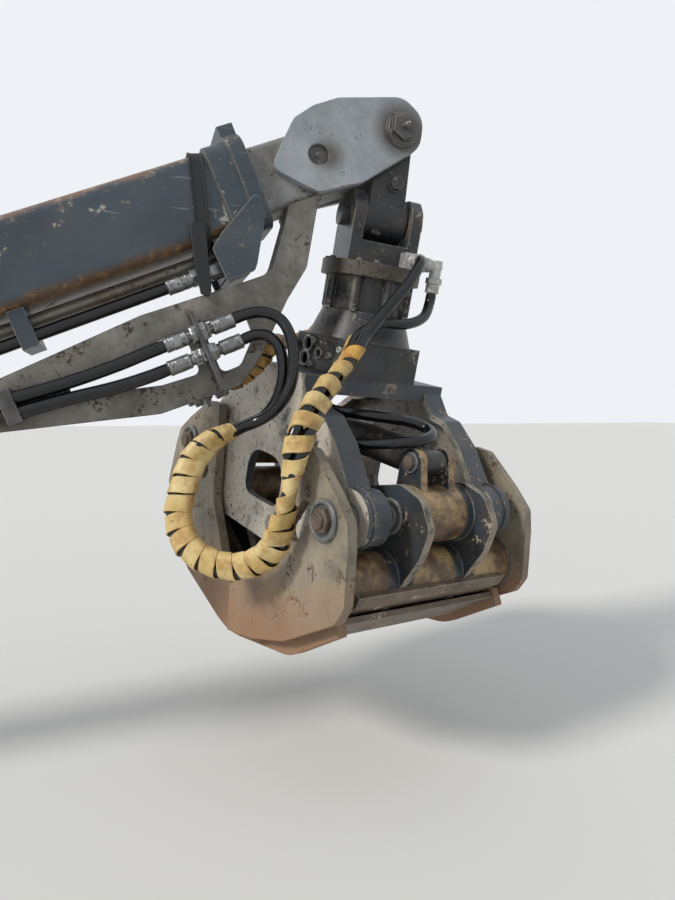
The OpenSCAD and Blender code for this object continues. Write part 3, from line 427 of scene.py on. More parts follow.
# Each finish: how it is made, its colours and its looks. Metals have paint, faded paint, what
# lies under it, rust and dirt. Scratches turn with the boom (23), the tip plates or the jaws.
FINISHES = {
    # Slate blue enamel, scuffed along the boom, with rust at its folded edges
    "boom_enamel": (weathered, "#2f3943 #3e4953 #9a9d99 #5d5a54 #4b4a45", dict(
        clouds=220, chip=17, chips=0.612, scratches=0.35, dirt_share=0.35, rough=0.42, turn=23,
        marks=beam_rust)),
    # The same slate blue enamel on the folded collar, heel and clamps, chipped at the folds
    "collar_enamel": (weathered, "#2f3943 #3f4a54 #8f8f8a #544b43 #4b4a45", dict(
        clouds=150, chip=9, chips=0.635, edges=0.9, scratches=0.35, dirt_share=0.4, rough=0.42,
        turn=23)),
    # Blue-grey enamel on the tip plates: chalky, with short dark scratches and greasy pins
    "tip_enamel": (weathered, "#858d96 #9ca2a8 #4c4d50 #6f6a62 #77746d", dict(
        clouds=110, chip=5, chips=0.635, edges=0.4, scratches=0.4, dirt_share=0.45, turn=60,
        marks=pin_grime)),
    # Grey enamel on the inner boom, grimy where it slides in and out
    "extension_enamel": (weathered, "#7d7f80 #92938f #4a4642 #6f5a44 #57503f", dict(
        clouds=90, chip=7, edges=0.4, scratches=0.5, dirt_share=0.8, turn=23)),
    # Grey enamel on the hose carrier, browned by oil and dust, rubbed dark at its edges
    "carrier_enamel": (weathered, "#6d6b66 #85817a #3d3b38 #5a4a39 #4c463b", dict(
        clouds=80, chip=8, edges=0.8, scratches=0.4, dirt_share=0.75, rough=0.6, turn=23)),
    # Black enamel on cast iron, oily, with grey wear on its corners and pale grey painted
    # sunlight on the sides facing the key light
    "black_casting": (weathered, "#1b1f23 #2b3035 #7d7a73 #45392e #443b31", dict(
        clouds=60, chip=8, edges=0.9, dirt_share=0.6, rough=0.36, grain=0.45,
        marks=casting_sunlit_side_and_dust)),
    # Machined ring between castings: brown-grey, rubbed, with black oil in its pores
    "flange_steel": (weathered, "#4a443c #5f574c #1d1c1b #3a3129 #2b2824", dict(
        clouds=40, chip=7, edges=0.3, scratches=0.3, dirt_share=0.6, rough=0.45, metal=0.2,
        grain=0.4)),
    # Dark blue-grey enamel, chipped in flakes to pale primer and brown steel, with painted
    # sunlight making its side towards the key light pale
    "crown_enamel": (weathered, "#2f3841 #46505a #948d80 #59463a #4f493f", dict(
        clouds=120, chip=10, chips=0.585, edges=0.85, dirt_share=0.55, rough=0.40, grain=0.35,
        marks=crown_painted_sunlit_side)),
    # Dark blue-grey enamel on ribs and tubes, with bright rims where logs rub
    "rib_enamel": (weathered, "#262d34 #363f47 #9c9282 #54402f #4c443a", dict(
        clouds=90, chip=8, edges=0.95, dirt_share=0.6, rough=0.40, grain=0.35,
        marks=log_wear)),
    # Wear plate scoured by logs: beige grey and dusty, rusting towards its lower edge
    "plate_steel": (weathered, "#6c6458 #8b8374 #4b453e #6b5544 #a3987f", dict(
        clouds=110, chip=6, edges=0.55, scratches=0.35, rough=0.6, grain=0.5, turn=50,
        marks=plate_rust)),
    # Bare blade steel, brown with rust inside and rubbed bright at its rim
    "blade_steel": (weathered, "#4f4237 #6d5f52 #a89f92 #6a4a31 #80745f", dict(
        clouds=70, chip=8, chips=0.585, edges=1.0, scratches=0.4, dirt_share=0.6, rough=0.45,
        grain=0.5)),
    # Zinc-plated bolts and unions gone dull, with oil and dust in the corners
    "bolt_steel": (weathered, "#85898c #a3a6a6 #4f4b46 #6a6257 #5b5449", dict(
        clouds=30, chip=5, edges=0.3, dirt_share=0.65, rough=0.28, metal=0.75, grain=0.2)),
    # Zinc-nickel plated elbows, newer than the rest: pale, a little oily
    "elbow_zinc": (weathered, "#a5a7a5 #bec0bd #6b6860 #857c6e #7d7569", dict(
        clouds=25, chip=5, chips=0.62, edges=0.3, rough=0.34, metal=0.3, grain=0.2)),
    # Black-oxide bolts and pins, greasy, worn grey on top
    "dark_bolt": (weathered, "#3a3c3e #55565a #8b8984 #5d4c3d #6d6050", dict(
        clouds=30, chip=5, chips=0.62, edges=0.9, rough=0.4, metal=0.3, grain=0.3)),
    # Turned discs that hold the pins: grey steel, scuffed, with dust in the grooves
    "disc_steel": (weathered, "#555a5c #6c7070 #a3a29b #5f5548 #6f6657", dict(
        clouds=40, chip=5, edges=0.7, dirt_share=0.6, rough=0.42, metal=0.25, grain=0.35)),
    # Plain steel nut with dull brown surface rust
    "nut_rust": (weathered, "#54463e #6a5a50 #857b70 #45352b #4a3a30", dict(
        clouds=25, chip=5, edges=0.6, dirt_share=0.7, rough=0.7, grain=0.6)),
    # Hydraulic steel tube, zinc gone dull and browned by dust
    "tube_zinc": (weathered, "#77736b #8d897f #4d463c #6a543e #5f5543", dict(
        clouds=90, chip=7, chips=0.62, edges=0.1, dirt_share=0.6, rough=0.4, metal=0.4,
        turn=23)),
    # Painted weld beads, darker in their ripples
    "weld_steel": (weathered, "#3b4046 #565a5c #8b8377 #5d4a39 #5b5144", dict(
        clouds=40, chip=6, edges=0.2)),
    # Hard chrome on the cylinder's rod: bright, with an oil film
    "rod_chrome": (chromed, "#8f9090 #5d5a54", {}),
    # Hydraulic hose: glossy black synthetic rubber
    "hose_cover": (rubber, "#0c0e11 #2c2b29", dict(rough=0.16, dust_share=0.3)),
    # Black strap rubber, matt and a little dusty
    "strap_rubber": (rubber, "#141518 #33322f", dict(rough=0.55)),
    # The guard's lower loop, bleached to straw by the sun, browned on its inner side
    "straw_guard": (polyethylene, "#c0a263 #d3bd87 #9c6f38", dict(share=0.55)),
    # The guard by the rotator: deeper yellow, with orange-brown oil
    "golden_guard": (polyethylene, "#c4973f #d2ae5d #8f5a26", dict(share=0.75)),
    # An older guard of the same plastic: brown with oil and bark
    "old_guard": (polyethylene, "#a37a3c #b9924f #54391d", dict(share=0.9)),
    # Pale matt studio floor
    "floor_paint": (plain, "#d9d9d6", dict(rough=0.8)),
}
MADE = {}

# The frame's pieces that stay in sight, by finish
DRESSED = {
    "boom_enamel": "jib_beam",
    "collar_enamel": "jib_collar carrier_guide jib_heel heel_boss tube_clamps",
    "tube_zinc": "steel_tubes",
    "bolt_steel": "tube_ends tail_couplings",
    "strap_rubber": "wear_pads",
    "extension_enamel": "inner_boom",
    "tip_enamel": "tip_plates",
    "carrier_enamel": "hose_carrier",
    "dark_bolt": "nose_pin tip_pin bulkhead hose_clips cross_pin",
    "black_casting": "link rotator_head rotator_housing rotator_foot port_manifold "
                     "cylinder_barrel",
    "flange_steel": "rotator_flange",
    "elbow_zinc": "rotator_elbows",
    "crown_enamel": "crown",
    "plate_steel": "right_plates left_plates",
    "rib_enamel": "right_ribs left_ribs",
    "blade_steel": "right_blade left_blade",
    "rod_chrome": "cylinder_rod",
}


def finish(name):
    """The material of that name, made once."""
    if name not in MADE:
        make, colours, looks = FINISHES[name]
        MADE[name] = make(name, *colours.split(), **looks)
    return MADE[name]


# Meshes
def placed(name, data):
    """A new object in the scene."""
    obj = bpy.data.objects.new(name, data)
    bpy.context.scene.collection.objects.link(obj)
    return obj


def at(place, v):
    """A point of a place, given in millimetres, in the row frame."""
    return place @ (Vector(v) * MM)


def spokes(axis, count, start=0.0):
    """Unit vectors square to an axis and evenly round it."""
    axis = Vector(axis).normalized()
    side = UP if abs(axis.z) < 0.9 else Vector((1, 0, 0))
    u = side.cross(axis).normalized()
    v = axis.cross(u)
    angles = (start + 2 * math.pi * k / count for k in range(count))
    return [u * math.cos(a) + v * math.sin(a) for a in angles]


class Shape:
    """Collects the faces of one piece, in millimetres of its place."""

    def __init__(self, place):
        self.place = place
        self.points = []
        self.faces = []

    def rings(self, loops, closed=False):
        """A skin over loops of as many points each, with ends, or joined end to end."""
        first = len(self.points)
        count = len(loops[0])
        total = len(loops)
        faces = []
        for i in range(total if closed else total - 1):
            j = (i + 1) % total
            for k in range(count):
                n = (k + 1) % count
                faces.append((i * count + k, i * count + n, j * count + n, j * count + k))
        if not closed:
            faces.append(tuple(reversed(range(count))))
            faces.append(tuple((total - 1) * count + k for k in range(count)))
        self.points += [at(self.place, p) for loop in loops for p in loop]
        self.faces += [tuple(first + i for i in face) for face in faces]

    def turned(self, centre, axis, profile, sides=28, start=0.0):
        """A turned solid: profile is (distance along the axis, radius) from one end."""
        centre, axis = Vector(centre), Vector(axis).normalized()
        around = spokes(axis, sides, start)
        self.rings([[centre + axis * along + out * r for out in around] for along, r in profile])

    def hoop(self, centre, axis, section, sides=28):
        """A turned ring with an open middle: section is (distance along the axis, radius)."""
        centre, axis = Vector(centre), Vector(axis).normalized()
        self.rings([[centre + axis * along + out * r for along, r in section]
                    for out in spokes(axis, sides)], closed=True)

    def nut(self, centre, axis, r, height, start=0.0):
        """A hexagon with chamfered corners, r across its corners."""
        self.turned(centre, axis, [(0, r), (height - 0.08 * r, r), (height, r * 0.86)], 6, start)

    def washer(self, centre, axis, r, inner, height):
        """A washer with rounded rims."""
        self.turned(centre, axis, [(0, r), (height * 0.8, r), (height, r - height * 0.3),
                                   (height, inner + height * 0.3), (height * 0.9, inner)])

    def bolt(self, centre, axis, r):
        """A washer, a hexagon head and the dish on top of it."""
        c, axis = Vector(centre), Vector(axis).normalized()
        self.washer(c, axis, r * 1.25, r, r * 0.18)
        self.nut(c + axis * r * 0.18, axis, r, r * 0.65)
        self.turned(c + axis * r * 0.83, axis, [(0, r * 0.72), (r * 0.06, r * 0.66),
                                                 (r * 0.02, r * 0.4), (r * 0.02, 0.1)], 20)

    def nipple(self, centre, axis, r=4):
        """A grease nipple."""
        self.turned(centre, axis, [(0, r), (r, r), (r * 1.1, r * 0.6), (r * 2.1, r * 0.6),
                                   (r * 2.4, r * 0.8), (r * 3, r * 0.5), (r * 3.1, 0.1)], 12)

    def piece(self, name, look, body=None, slot=None, bevel=0.0, smooth=40):
        """Makes the object, at the origin, with its normals outwards."""
        mesh = bpy.data.meshes.new(name)
        mesh.from_pydata([tuple(p) for p in self.points], [], self.faces)
        work = bmesh.new()
        work.from_mesh(mesh)
        bmesh.ops.recalc_face_normals(work, faces=work.faces)
        work.to_mesh(mesh)
        work.free()
        obj = placed(name, mesh)
        mesh.materials.append(finish(look))
        mesh.shade_smooth()
        mesh.set_sharp_from_angle(angle=math.radians(smooth))
        if bevel:
            cut = obj.modifiers.new("edges", "BEVEL")
            cut.width = bevel * MM
            cut.segments = 2
            cut.limit_method = "ANGLE"
        if body:
            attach(obj, body)
        return obj


def run_of(path):
    """The distance along a path at each of its points."""
    return np.concatenate([[0], np.cumsum(np.linalg.norm(np.diff(path, axis=0), axis=1))])


def smooth_path(points, step):
    """Points a step apart, in millimetres, on a round curve through the given ones."""
    pts = [np.array(p, float) for p in points]
    pts = [2 * pts[0] - pts[1]] + pts + [2 * pts[-1] - pts[-2]]
    fine = []
    for i in range(1, len(pts) - 2):
        p0, p1, p2, p3 = pts[i - 1:i + 3]
        g0, g1, g2 = (max(np.linalg.norm(b - a), 1e-6) ** 0.5
                      for a, b in ((p0, p1), (p1, p2), (p2, p3)))
        m1 = ((p1 - p0) / g0 - (p2 - p0) / (g0 + g1) + (p2 - p1) / g1) * g1
        m2 = ((p2 - p1) / g1 - (p3 - p1) / (g1 + g2) + (p3 - p2) / g2) * g1
        for t in np.arange(12) / 12:
            fine.append((2 * t**3 - 3 * t**2 + 1) * p1 + (t**3 - 2 * t**2 + t) * m1
                        + (3 * t**2 - 2 * t**3) * p2 + (t**3 - t**2) * m2)
    fine = np.array(fine + [pts[-2]])
    run = run_of(fine)
    places = np.linspace(0, run[-1], max(int(run[-1] / step), 2) + 1)
    return np.stack([np.interp(places, run, fine[:, i]) for i in range(3)], axis=1)


def tangents(path):
    """Unit directions along a path."""
    t = np.gradient(path, axis=0)
    return t / np.linalg.norm(t, axis=1)[:, None]


def sides_of(path, first):
    """A side vector at each point, carried along the path without twist."""
    side = np.array(first, float)
    out = []
    for t in tangents(path):
        side = side - t * side.dot(t)
        side = side / np.linalg.norm(side)
        out.append(side)
    return np.array(out)


def nearest(path, spot):
    """The index of the path's point nearest to a spot."""
    return int(np.argmin(np.linalg.norm(path - np.array(spot, float), axis=1)))


def cut_path(path, spots):
    """Splits a path at its points nearest to the given spots."""
    bounds = [0] + [nearest(path, s) for s in spots] + [len(path) - 1]
    return [path[a:b + 1] for a, b in zip(bounds, bounds[1:])]


def section_loop(w, h, r):
    """Points round a rounded rectangle of width w and height h."""
    corners = ((w / 2 - r, h / 2 - r, 0), (-w / 2 + r, h / 2 - r, 90),
               (-w / 2 + r, -h / 2 + r, 180), (w / 2 - r, -h / 2 + r, 270))
    return [(x + r * math.cos(a), y + r * math.sin(a)) for x, y, first in corners
            for a in (math.radians(first + 90 * k / 8) for k in range(9))]


def hose_piece(name, place, path, r, slot="hose_rubber"):
    """A hose along a path: a round tube with slightly soft ends."""
    radii = np.full(len(path), float(r))
    radii[0] = radii[-1] = r * 0.97
    u = sides_of(path, (0, 1, 0))
    v = np.cross(tangents(path), u)
    angles = np.linspace(0, 2 * math.pi, 16, endpoint=False)
    shape = Shape(place)
    shape.rings([[path[i] + radii[i] * (math.cos(a) * u[i] + math.sin(a) * v[i]) for a in angles]
                 for i in range(len(path))])
    return shape.piece(name, "hose_cover", slot=slot, smooth=60)


def crimps(starts, high, low):
    """The profile of the crimp lines in a sleeve."""
    return [spot for k in starts
            for spot in ((k, high), (k + 0.7, low), (k + 1.6, low), (k + 2.3, high))]


def ferrule(shape, end, direction, r):
    """A crimped ferrule: a sleeve with fine crimp lines, its neck and its nut. It runs from
    the hose side at end, along direction, to the fitting."""
    shape.turned(end, direction, [
        (0, r * 1.04), (1.5, r * 1.30), *crimps((7, 10, 13, 30, 33, 36), r * 1.32, r * 1.25),
        (42, r * 1.30), (44, r), (52, r)])
    shape.nut(Vector(end) + Vector(direction).normalized() * 50, direction, r * 1.55, 20)


# Repeats made by node trees
def repeat_tree(name, inputs, lay_out):
    """A modifier's node tree with its named inputs. lay_out gives the points, what stands on
    each, the way it points and its scale."""
    tree = bpy.data.node_groups.new(name, "GeometryNodeTree")
    sockets = [("Geometry", "INPUT", "NodeSocketGeometry", None)]
    sockets += [(label, "INPUT", kind, value) for label, kind, value in inputs]
    sockets += [("Material", "INPUT", "NodeSocketMaterial", None),
                ("Geometry", "OUTPUT", "NodeSocketGeometry", None)]
    for label, way, kind, value in sockets:
        socket = tree.interface.new_socket(name=label, in_out=way, socket_type=kind)
        if value is not None:
            socket.default_value = value
    start = add(tree, "NodeGroupInput")
    points, thing, axis, scale = lay_out(tree, start)
    turn = add(tree, "FunctionNodeAlignRotationToVector", {"Vector": axis}, axis="Z")
    spots = add(tree, "GeometryNodeInstanceOnPoints", {"Points": points, "Instance": thing,
                                                       "Rotation": turn, "Scale": scale})
    real = add(tree, "GeometryNodeRealizeInstances", {"Geometry": spots})
    dressed = add(tree, "GeometryNodeSetMaterial", {"Geometry": real,
                                                    "Material": start.outputs["Material"]})
    add(tree, "NodeGroupOutput", {0: dressed})
    return tree


def bead_tree():
    """Ripples of a weld bead along an edge path: a flat drop at each step of the path."""
    def lay_out(tree, start):
        curve = add(tree, "GeometryNodeMeshToCurve", {"Mesh": start.outputs["Geometry"]})
        spread = add(tree, "GeometryNodeResampleCurve", {
            "Curve": curve, "Length": start.outputs["Spacing"]}, mode="LENGTH")
        drop = add(tree, "GeometryNodeMeshUVSphere", {
            "Segments": 8, "Rings": 5, "Radius": start.outputs["Radius"]})
        smooth = add(tree, "GeometryNodeSetShadeSmooth", {"Geometry": drop})
        return spread, smooth, add(tree, "GeometryNodeInputTangent"), (1, 1, 0.8)
    return repeat_tree("weld_bead", [("Spacing", "NodeSocketFloat", 0.004),
                                     ("Radius", "NodeSocketFloat", 0.004)], lay_out)


def bolt_tree():
    """Bolts at each point of a mesh, all turned to one axis."""
    def lay_out(tree, start):
        bolt = add(tree, "GeometryNodeObjectInfo", {"Object": start.outputs["Bolt"]})
        return (start.outputs["Geometry"], bolt.outputs["Geometry"], start.outputs["Axis"],
                start.outputs["Size"])
    return repeat_tree("bolt_row", [("Bolt", "NodeSocketObject", None),
                                    ("Size", "NodeSocketFloat", 1.0),
                                    ("Axis", "NodeSocketVector", (0, 0, 1))], lay_out)


TREES = {}


def grown(name, points, edges, make_tree, values, body):
    """Runs a node tree on points and edges and keeps the result as a plain mesh."""
    if make_tree not in TREES:
        TREES[make_tree] = make_tree()
    tree = TREES[make_tree]
    base = bpy.data.meshes.new(name + "_path")
    base.from_pydata([tuple(p) for p in points], edges, [])
    carrier = placed(name + "_path", base)
    grow = carrier.modifiers.new("repeat", "NODES")
    grow.node_group = tree
    sockets = {s.name: s.identifier for s in tree.interface.items_tree if s.in_out == "INPUT"}
    for label, value in values.items():
        grow[sockets[label]] = value
    bpy.context.view_layer.update()
    ready = carrier.evaluated_get(bpy.context.evaluated_depsgraph_get())
    mesh = bpy.data.meshes.new_from_object(ready)
    mesh.name = name
    bpy.data.objects.remove(carrier)
    obj = placed(name, mesh)
    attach(obj, body)


def welds(name, runs, body, radius):
    """Weld beads along runs of points, in the row frame."""
    points = []
    edges = []
    for run in runs:
        first = len(points)
        points += run
        edges += [(first + i, first + i + 1) for i in range(len(run) - 1)]
    values = {"Spacing": radius * 0.9 * MM, "Radius": radius * MM,
              "Material": finish("weld_steel")}
    grown(name, points, edges, bead_tree, values, body)


def circle(centre, r):
    """Points round a circle square to the grapple's pins, in the row frame, the first one again
    at the end."""
    out = [at(GRAPPLE, Vector(centre) + spoke * r) for spoke in spokes((1, 0, 0), 40)]
    return out + out[:1]


def bolts(name, spots, axis, r, look):
    """Like bolts on the rotator's head, at spots of the row frame, all pointing along axis."""
    shape = Shape(Matrix.Identity(4))
    shape.bolt((0, 0, 0), (0, 0, 1), 10)
    master = shape.piece(name + "_master", look)
    values = {"Bolt": master, "Size": r / 10, "Axis": tuple(axis), "Material": finish(look)}
    grown(name, spots, [], bolt_tree, values, "head")
    bpy.data.objects.remove(master)


# Pieces
def place_camera(settings):
    """The camera stands where the photograph was taken from."""
    data = bpy.data.cameras.new("camera")
    data.sensor_fit = "HORIZONTAL"
    data.sensor_width = 36
    data.lens = settings.lens
    data.shift_x, data.shift_y = CAMERA_SHIFT
    camera = placed("camera", data)
    camera.location = TIP_PIN + Vector(CAMERA_FROM_TIP)
    camera.rotation_euler = (math.radians(90), 0, math.radians(CAMERA_TURN))
    bpy.context.scene.camera = camera


def turned_sides(path):
    """Sides of the guard, carried along its path and turned as GUARD_TURNS says, from the way
    it lies flat in the loop's own plane."""
    t = tangents(path)
    u = sides_of(path, GUARD_START)
    v = np.cross(t, u)
    flat = np.cross(np.array(LOOP_NORMAL), t)
    flat = np.unwrap(np.arctan2((flat * v).sum(axis=1), (flat * u).sum(axis=1)))
    run = run_of(path)
    share = run / run[-1]
    turn = [np.interp(s, share, flat) + math.radians(degrees) for s, degrees in GUARD_TURNS]
    goal = math.atan2(np.dot(GUARD_END, v[-1]), np.dot(GUARD_END, u[-1]))
    turn[-1] = goal + 2 * math.pi * round((turn[-1] - goal) / (2 * math.pi))
    bends = np.interp(share, [0.0] + [s for s, _ in GUARD_TURNS], [0.0] + turn)
    bends = np.convolve(np.pad(bends, 9, mode="edge"), np.ones(19) / 19, mode="valid")
    out = u * np.cos(bends)[:, None] + v * np.sin(bends)[:, None]
    return out, np.cross(t, out)


def near_route(i, guard, side):
    """The whole route of one hanging hose: union, guard, rotator."""
    inside = (guard + side * (HOSE_GAP if i else -HOSE_GAP))[::3]
    return np.concatenate([np.array(UNION_ROUTES[i], float), inside[2:-2],
                           np.array(HEAD_ROUTES[i], float)])


def hang(obj, stretch):
    """Binds the first stretch of a hanging bundle to the extension; any other stretch only has
    its transform baked into its mesh.
    """
    if stretch == 0:
        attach(obj, "extension")
    elif stretch == 1:
        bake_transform(obj)
    else:
        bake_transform(obj)


def spiral(path, side, over, pitch, width, thick, spread, radius):
    """A strip wound round two hoses that lie side by side. Each section is straight, so the
    turns gape on the outside of a bend and lap like scales on its inside."""
    t = tangents(path)
    run = run_of(path)
    angle = np.concatenate([[0], np.cumsum(np.diff(run) * 2 * math.pi / pitch[:-1])])
    count = int(angle[-1] / (2 * math.pi) * 26)
    shape = Shape(TIP)
    loops = []
    for k in range(count + 1):
        a = angle[-1] * k / count
        s = np.interp(a, angle, run)
        c, du, dv, dt = (np.array([np.interp(s, run, w[:, i]) for i in range(3)])
                         for w in (path, side, over, t))
        r = np.interp(s, run, radius)
        section = []
        for off, lift in ((-0.5, 0), (-0.47, thick), (0.47, thick), (0.5, 0)):
            r_here = r + lift + 2.6 * off
            x = spread * math.tanh(2.2 * math.cos(a)) + r_here * math.cos(a)
            section.append(c + dt * off * width + du * x + dv * r_here * math.sin(a))
        loops.append(section)
    shape.rings(loops)
    return shape


def make_hanging_hoses(settings):
    """The two hanging hoses in their spiral guard, cut where a ring of the guard hides it."""
    guard = smooth_path(GUARD_ROUTE, 5)
    side, over = turned_sides(guard)
    pieces = {}
    for i, label in enumerate("ab"):
        path = smooth_path(near_route(i, guard, side), 7)
        for n, part in enumerate(cut_path(path, LOOP_PARTS[:2])):
            obj = hose_piece(f"loop_hose_{label}_{n + 1}", TIP, part, LOOP_HOSE_R)
            pieces[label, n] = (obj, part)
    share = np.linspace(0, 1, len(guard))
    tight, wide = settings.tight_pitch, settings.open_pitch
    pitch = np.interp(share, (0, 0.60, 0.74, 1), (tight, tight, wide, wide)) / MM
    radius = np.interp(share, (0, 0.5, 0.62, 0.74, 1), (12.4, 12.0, 11.0, 12.6, 13.4))
    low, high = (nearest(guard, s) for s in LOOP_PARTS[:2])
    guards = []
    for n, (a, b) in enumerate(((0, low), (low, high), (high, len(guard) - 1))):
        part = slice(a, b + 1)
        shape = spiral(guard[part], side[part], over[part], pitch[part],
                       settings.strip_width / MM, STRIP_T, GUARD_SPREAD, radius[part])
        guards.append(shape.piece(f"loop_guard_{n + 1}",
                                  "golden_guard" if n == 2 else "straw_guard",
                                  slot="guard_plastic", smooth=35))
    for (label, n), (obj, part) in pieces.items():
        hang(obj, n)
    for n, obj in enumerate(guards):
        hang(obj, n)
    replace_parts(pieces["a", 0][0], "loop_hoses")
    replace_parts(guards[0], "loop_guard")


def make_far_hoses(settings):
    """The second bundle, wrapped in an old guard, from its union round behind the rotator."""
    whole = smooth_path(FAR_ROUTE, 7)
    for n, path in enumerate(cut_path(whole, FAR_PARTS[1:2])):
        obj = hose_piece(f"far_hose_{n + 1}", TIP, path, HOSE_R, "wrap")
        side = sides_of(path, (0, 0, 1))
        over = np.cross(tangents(path), side)
        even = np.ones(len(path) - 2)
        shape = spiral(path[1:-1], side[1:-1], over[1:-1], even * FAR_PITCH, FAR_STRIP_W,
                       FAR_STRIP_T, 0.0, even * FAR_GUARD_R)
        guard = shape.piece(f"far_guard_{n + 1}", "old_guard", slot="wrap", smooth=35)
        for piece in (obj, guard):
            hang(piece, n + 1)
        if n == 0:
            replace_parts(obj, "far_bundle")


def make_carrier_hoses(settings):
    """The hoses on the carrier, the one in the crown, and the one clamped under the jib."""
    for name, place, route, step, r, body, lay, node in (
            ("carrier_hose_1", BOOM, CARRIER_ROUTES[0], 14, HOSE_R, "extension", "taut",
             "carrier_hoses"),
            ("carrier_hose_2", BOOM, CARRIER_ROUTES[1], 14, HOSE_R, "extension", "taut", None),
            ("crown_loop", GRAPPLE, CROWN_ROUTE, 7, CROWN_HOSE_R, "rotor", "loose",
             "crown_hose"),
            ("jib_line", BOOM, JIB_HOSE, 20, HOSE_R, "jib", None, "jib_hose")):
        path = smooth_path(route, step)
        obj = hose_piece(name, place, path, r)
        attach(obj, body)
        if node:
            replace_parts(obj, node)


def make_fittings(settings):
    """Unions with lock nuts and crimped ferrules, on the carrier, the jib and the rotator."""
    ahead, back = (1, 0, 0), (-1, 0, 0)
    shape = Shape(BOOM)
    for i, h in enumerate(UNION_H):
        ferrule(shape, (BULKHEAD_S + 70, UNION_Y, h), back, 11)
        ferrule(shape, (BULKHEAD_S - 65 - 10 * i, UNION_Y, h), ahead, 11)
        shape.turned((BULKHEAD_S - 20, UNION_Y, h), ahead, [(0, 11), (45, 11)])
        shape.nut((BULKHEAD_S + 4, UNION_Y, h), ahead, 19, 12)
        shape.nut((BULKHEAD_S - 4, UNION_Y, h), back, 18, 9, 0.3)
    s, y, h = FAR_UNION
    shape.turned((s - 30, y, h), ahead, [(0, 10), (2, 12), (50, 12)])
    shape.nut((s + 4, y, h), ahead, 19, 12)
    shape.nut((s - 4, y, h), back, 19, 14, 0.3)
    shape.turned((s + 54, y, h), back, [(0, 16), (2, 18.5), (8, 19), (10, 17.5), (12, 19),
                                        (26, 19), (28, 14)])
    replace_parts(shape.piece("unions", "bolt_steel", "extension", "zinc"), "bulkhead_fittings")
    shape = Shape(BOOM)
    s, y, h = JIB_HOSE[-1]
    ferrule(shape, (s - 38, y, h), ahead, 12)
    shape.piece("jib_ferrule", "bolt_steel", "jib", "zinc")
    shape = Shape(GRAPPLE)
    x, y, z = CROWN_ROUTE[-1]
    ferrule(shape, (x + 34, y, z), back, 11)
    shape.piece("crown_ferrule", "bolt_steel", "rotor", "zinc")


def make_elbows(settings):
    """Nuts and crimped sleeves on the rotator's elbows, and the rims of the manifold's ports."""
    x, y, z = ELBOW_AT
    out, up, bend_x, bend_r = (1, 0, 0), (0, 0, 1), ELBOW_AT[0] + 56, 13.5
    shape = Shape(HEAD)
    shape.nut((x + 20, y, z), out, 17.5, 11, 0.2)
    shape.turned((x + 31, y, z), out, [(0, 14), (1, 15), (8, 15), (9, 13)])
    shape.turned((bend_x, y, z - bend_r), up, [
        (bend_r - bend_r * math.cos(a), max(bend_r * math.sin(a), 0.1))
        for a in (math.pi * k / 10 for k in range(11))])
    shape.nut((bend_x, y, z - 36), up, 17, 13)
    sleeve = [(0, 13.2), (1, 14.6), *crimps((4, 7, 10), 14.6, 13.8), (16, 14.6), (18, 13),
              (22, 13)]
    shape.turned((bend_x, y, ELBOW_LOW), up, sleeve)
    shape.nut((x, y - 16, z), (0, -1, 0), 17.5, 8)
    shape.turned((x, y - 42, z), (0, 1, 0), sleeve)
    shape.piece("elbow_nuts", "elbow_zinc", "head", "zinc")
    shape = Shape(ROTOR)
    out = (-1, 0, 0)
    for y, z, r in PORTS:
        shape.hoop((PORT_FACE, y, z), out, [(-3, r - 0.5), (4, r - 0.5), (5, r + 0.5),
                                            (5, r + 3), (3.5, r + 4.5), (-3, r + 4.5)])
    for y, z in PLUGS:
        shape.turned((PORT_FACE, y, z), out, [(0, 7), (6, 7), (7, 6.2), (7, 3.6), (3, 3.4)])
    shape.nipple((PORT_FACE, *PORT_NIPPLE), out, 5)
    shape.piece("port_rims", "elbow_zinc", "rotor", "zinc")


def make_pins(settings):
    """The jaw pins' lipped discs with their nuts, inside and outside of each jaw."""
    rib_out = RIB_IN + RIB_T
    for jaw, sign, plate_out in JAWS:
        discs = Shape(GRAPPLE)
        nuts = Shape(GRAPPLE)
        pivot = sign * PIVOT_Q
        ear_y, ear_z = sign * EAR[0], EAR[1]
        for side in (-1, 1):
            out = (side, 0, 0)
            discs.turned((side * BOSS_IN, pivot, 0), out, [(0, 28), (plate_out - BOSS_IN, 28)])
            discs.turned((side * rib_out, pivot, 0), out, [(0, 16), (BOSS_IN - rib_out, 16)])
            discs.turned((side * rib_out, pivot, 0), out, [
                (0, 34), (4, 34), (6, 32), (6, 25), (4, 23.5), (4, 22), (9, 21), (10, 19.5),
                (10, 17)], 36)
            discs.turned((side * plate_out, pivot, 0), out, [
                (0, 37), (5, 37), (8, 34), (8, 30), (5, 27.5), (2, 26), (2, 8)], 36)
            nuts.nut((side * (plate_out + 2), pivot, 0), out, 23, 11, 0.3)
            nuts.turned((side * (plate_out + 13), pivot, 0), out, [
                (0, 15), (5, 14.5), (6.5, 12), (5, 5), (4.5, 0.1)])
            discs.turned((side * EAR_OUT, ear_y, ear_z), out, [
                (-16, 14), (0, 14), (0.2, 20), (3, 20), (4, 19)])
            nuts.nut((side * (EAR_OUT + 4), ear_y, ear_z), out, 14, 7)
        if jaw == "right":
            discs.turned((-EAR_OUT, ear_y, ear_z), (1, 0, 0), [(0, 14), (2 * EAR_OUT, 14)])
        pins = discs.piece(jaw + "_pin_discs", "disc_steel", jaw + "_jaw", "dark_paint")
        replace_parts(pins, jaw + "_pins")
        nuts.piece(jaw + "_pin_nuts", "nut_rust", jaw + "_jaw", "dark_paint")


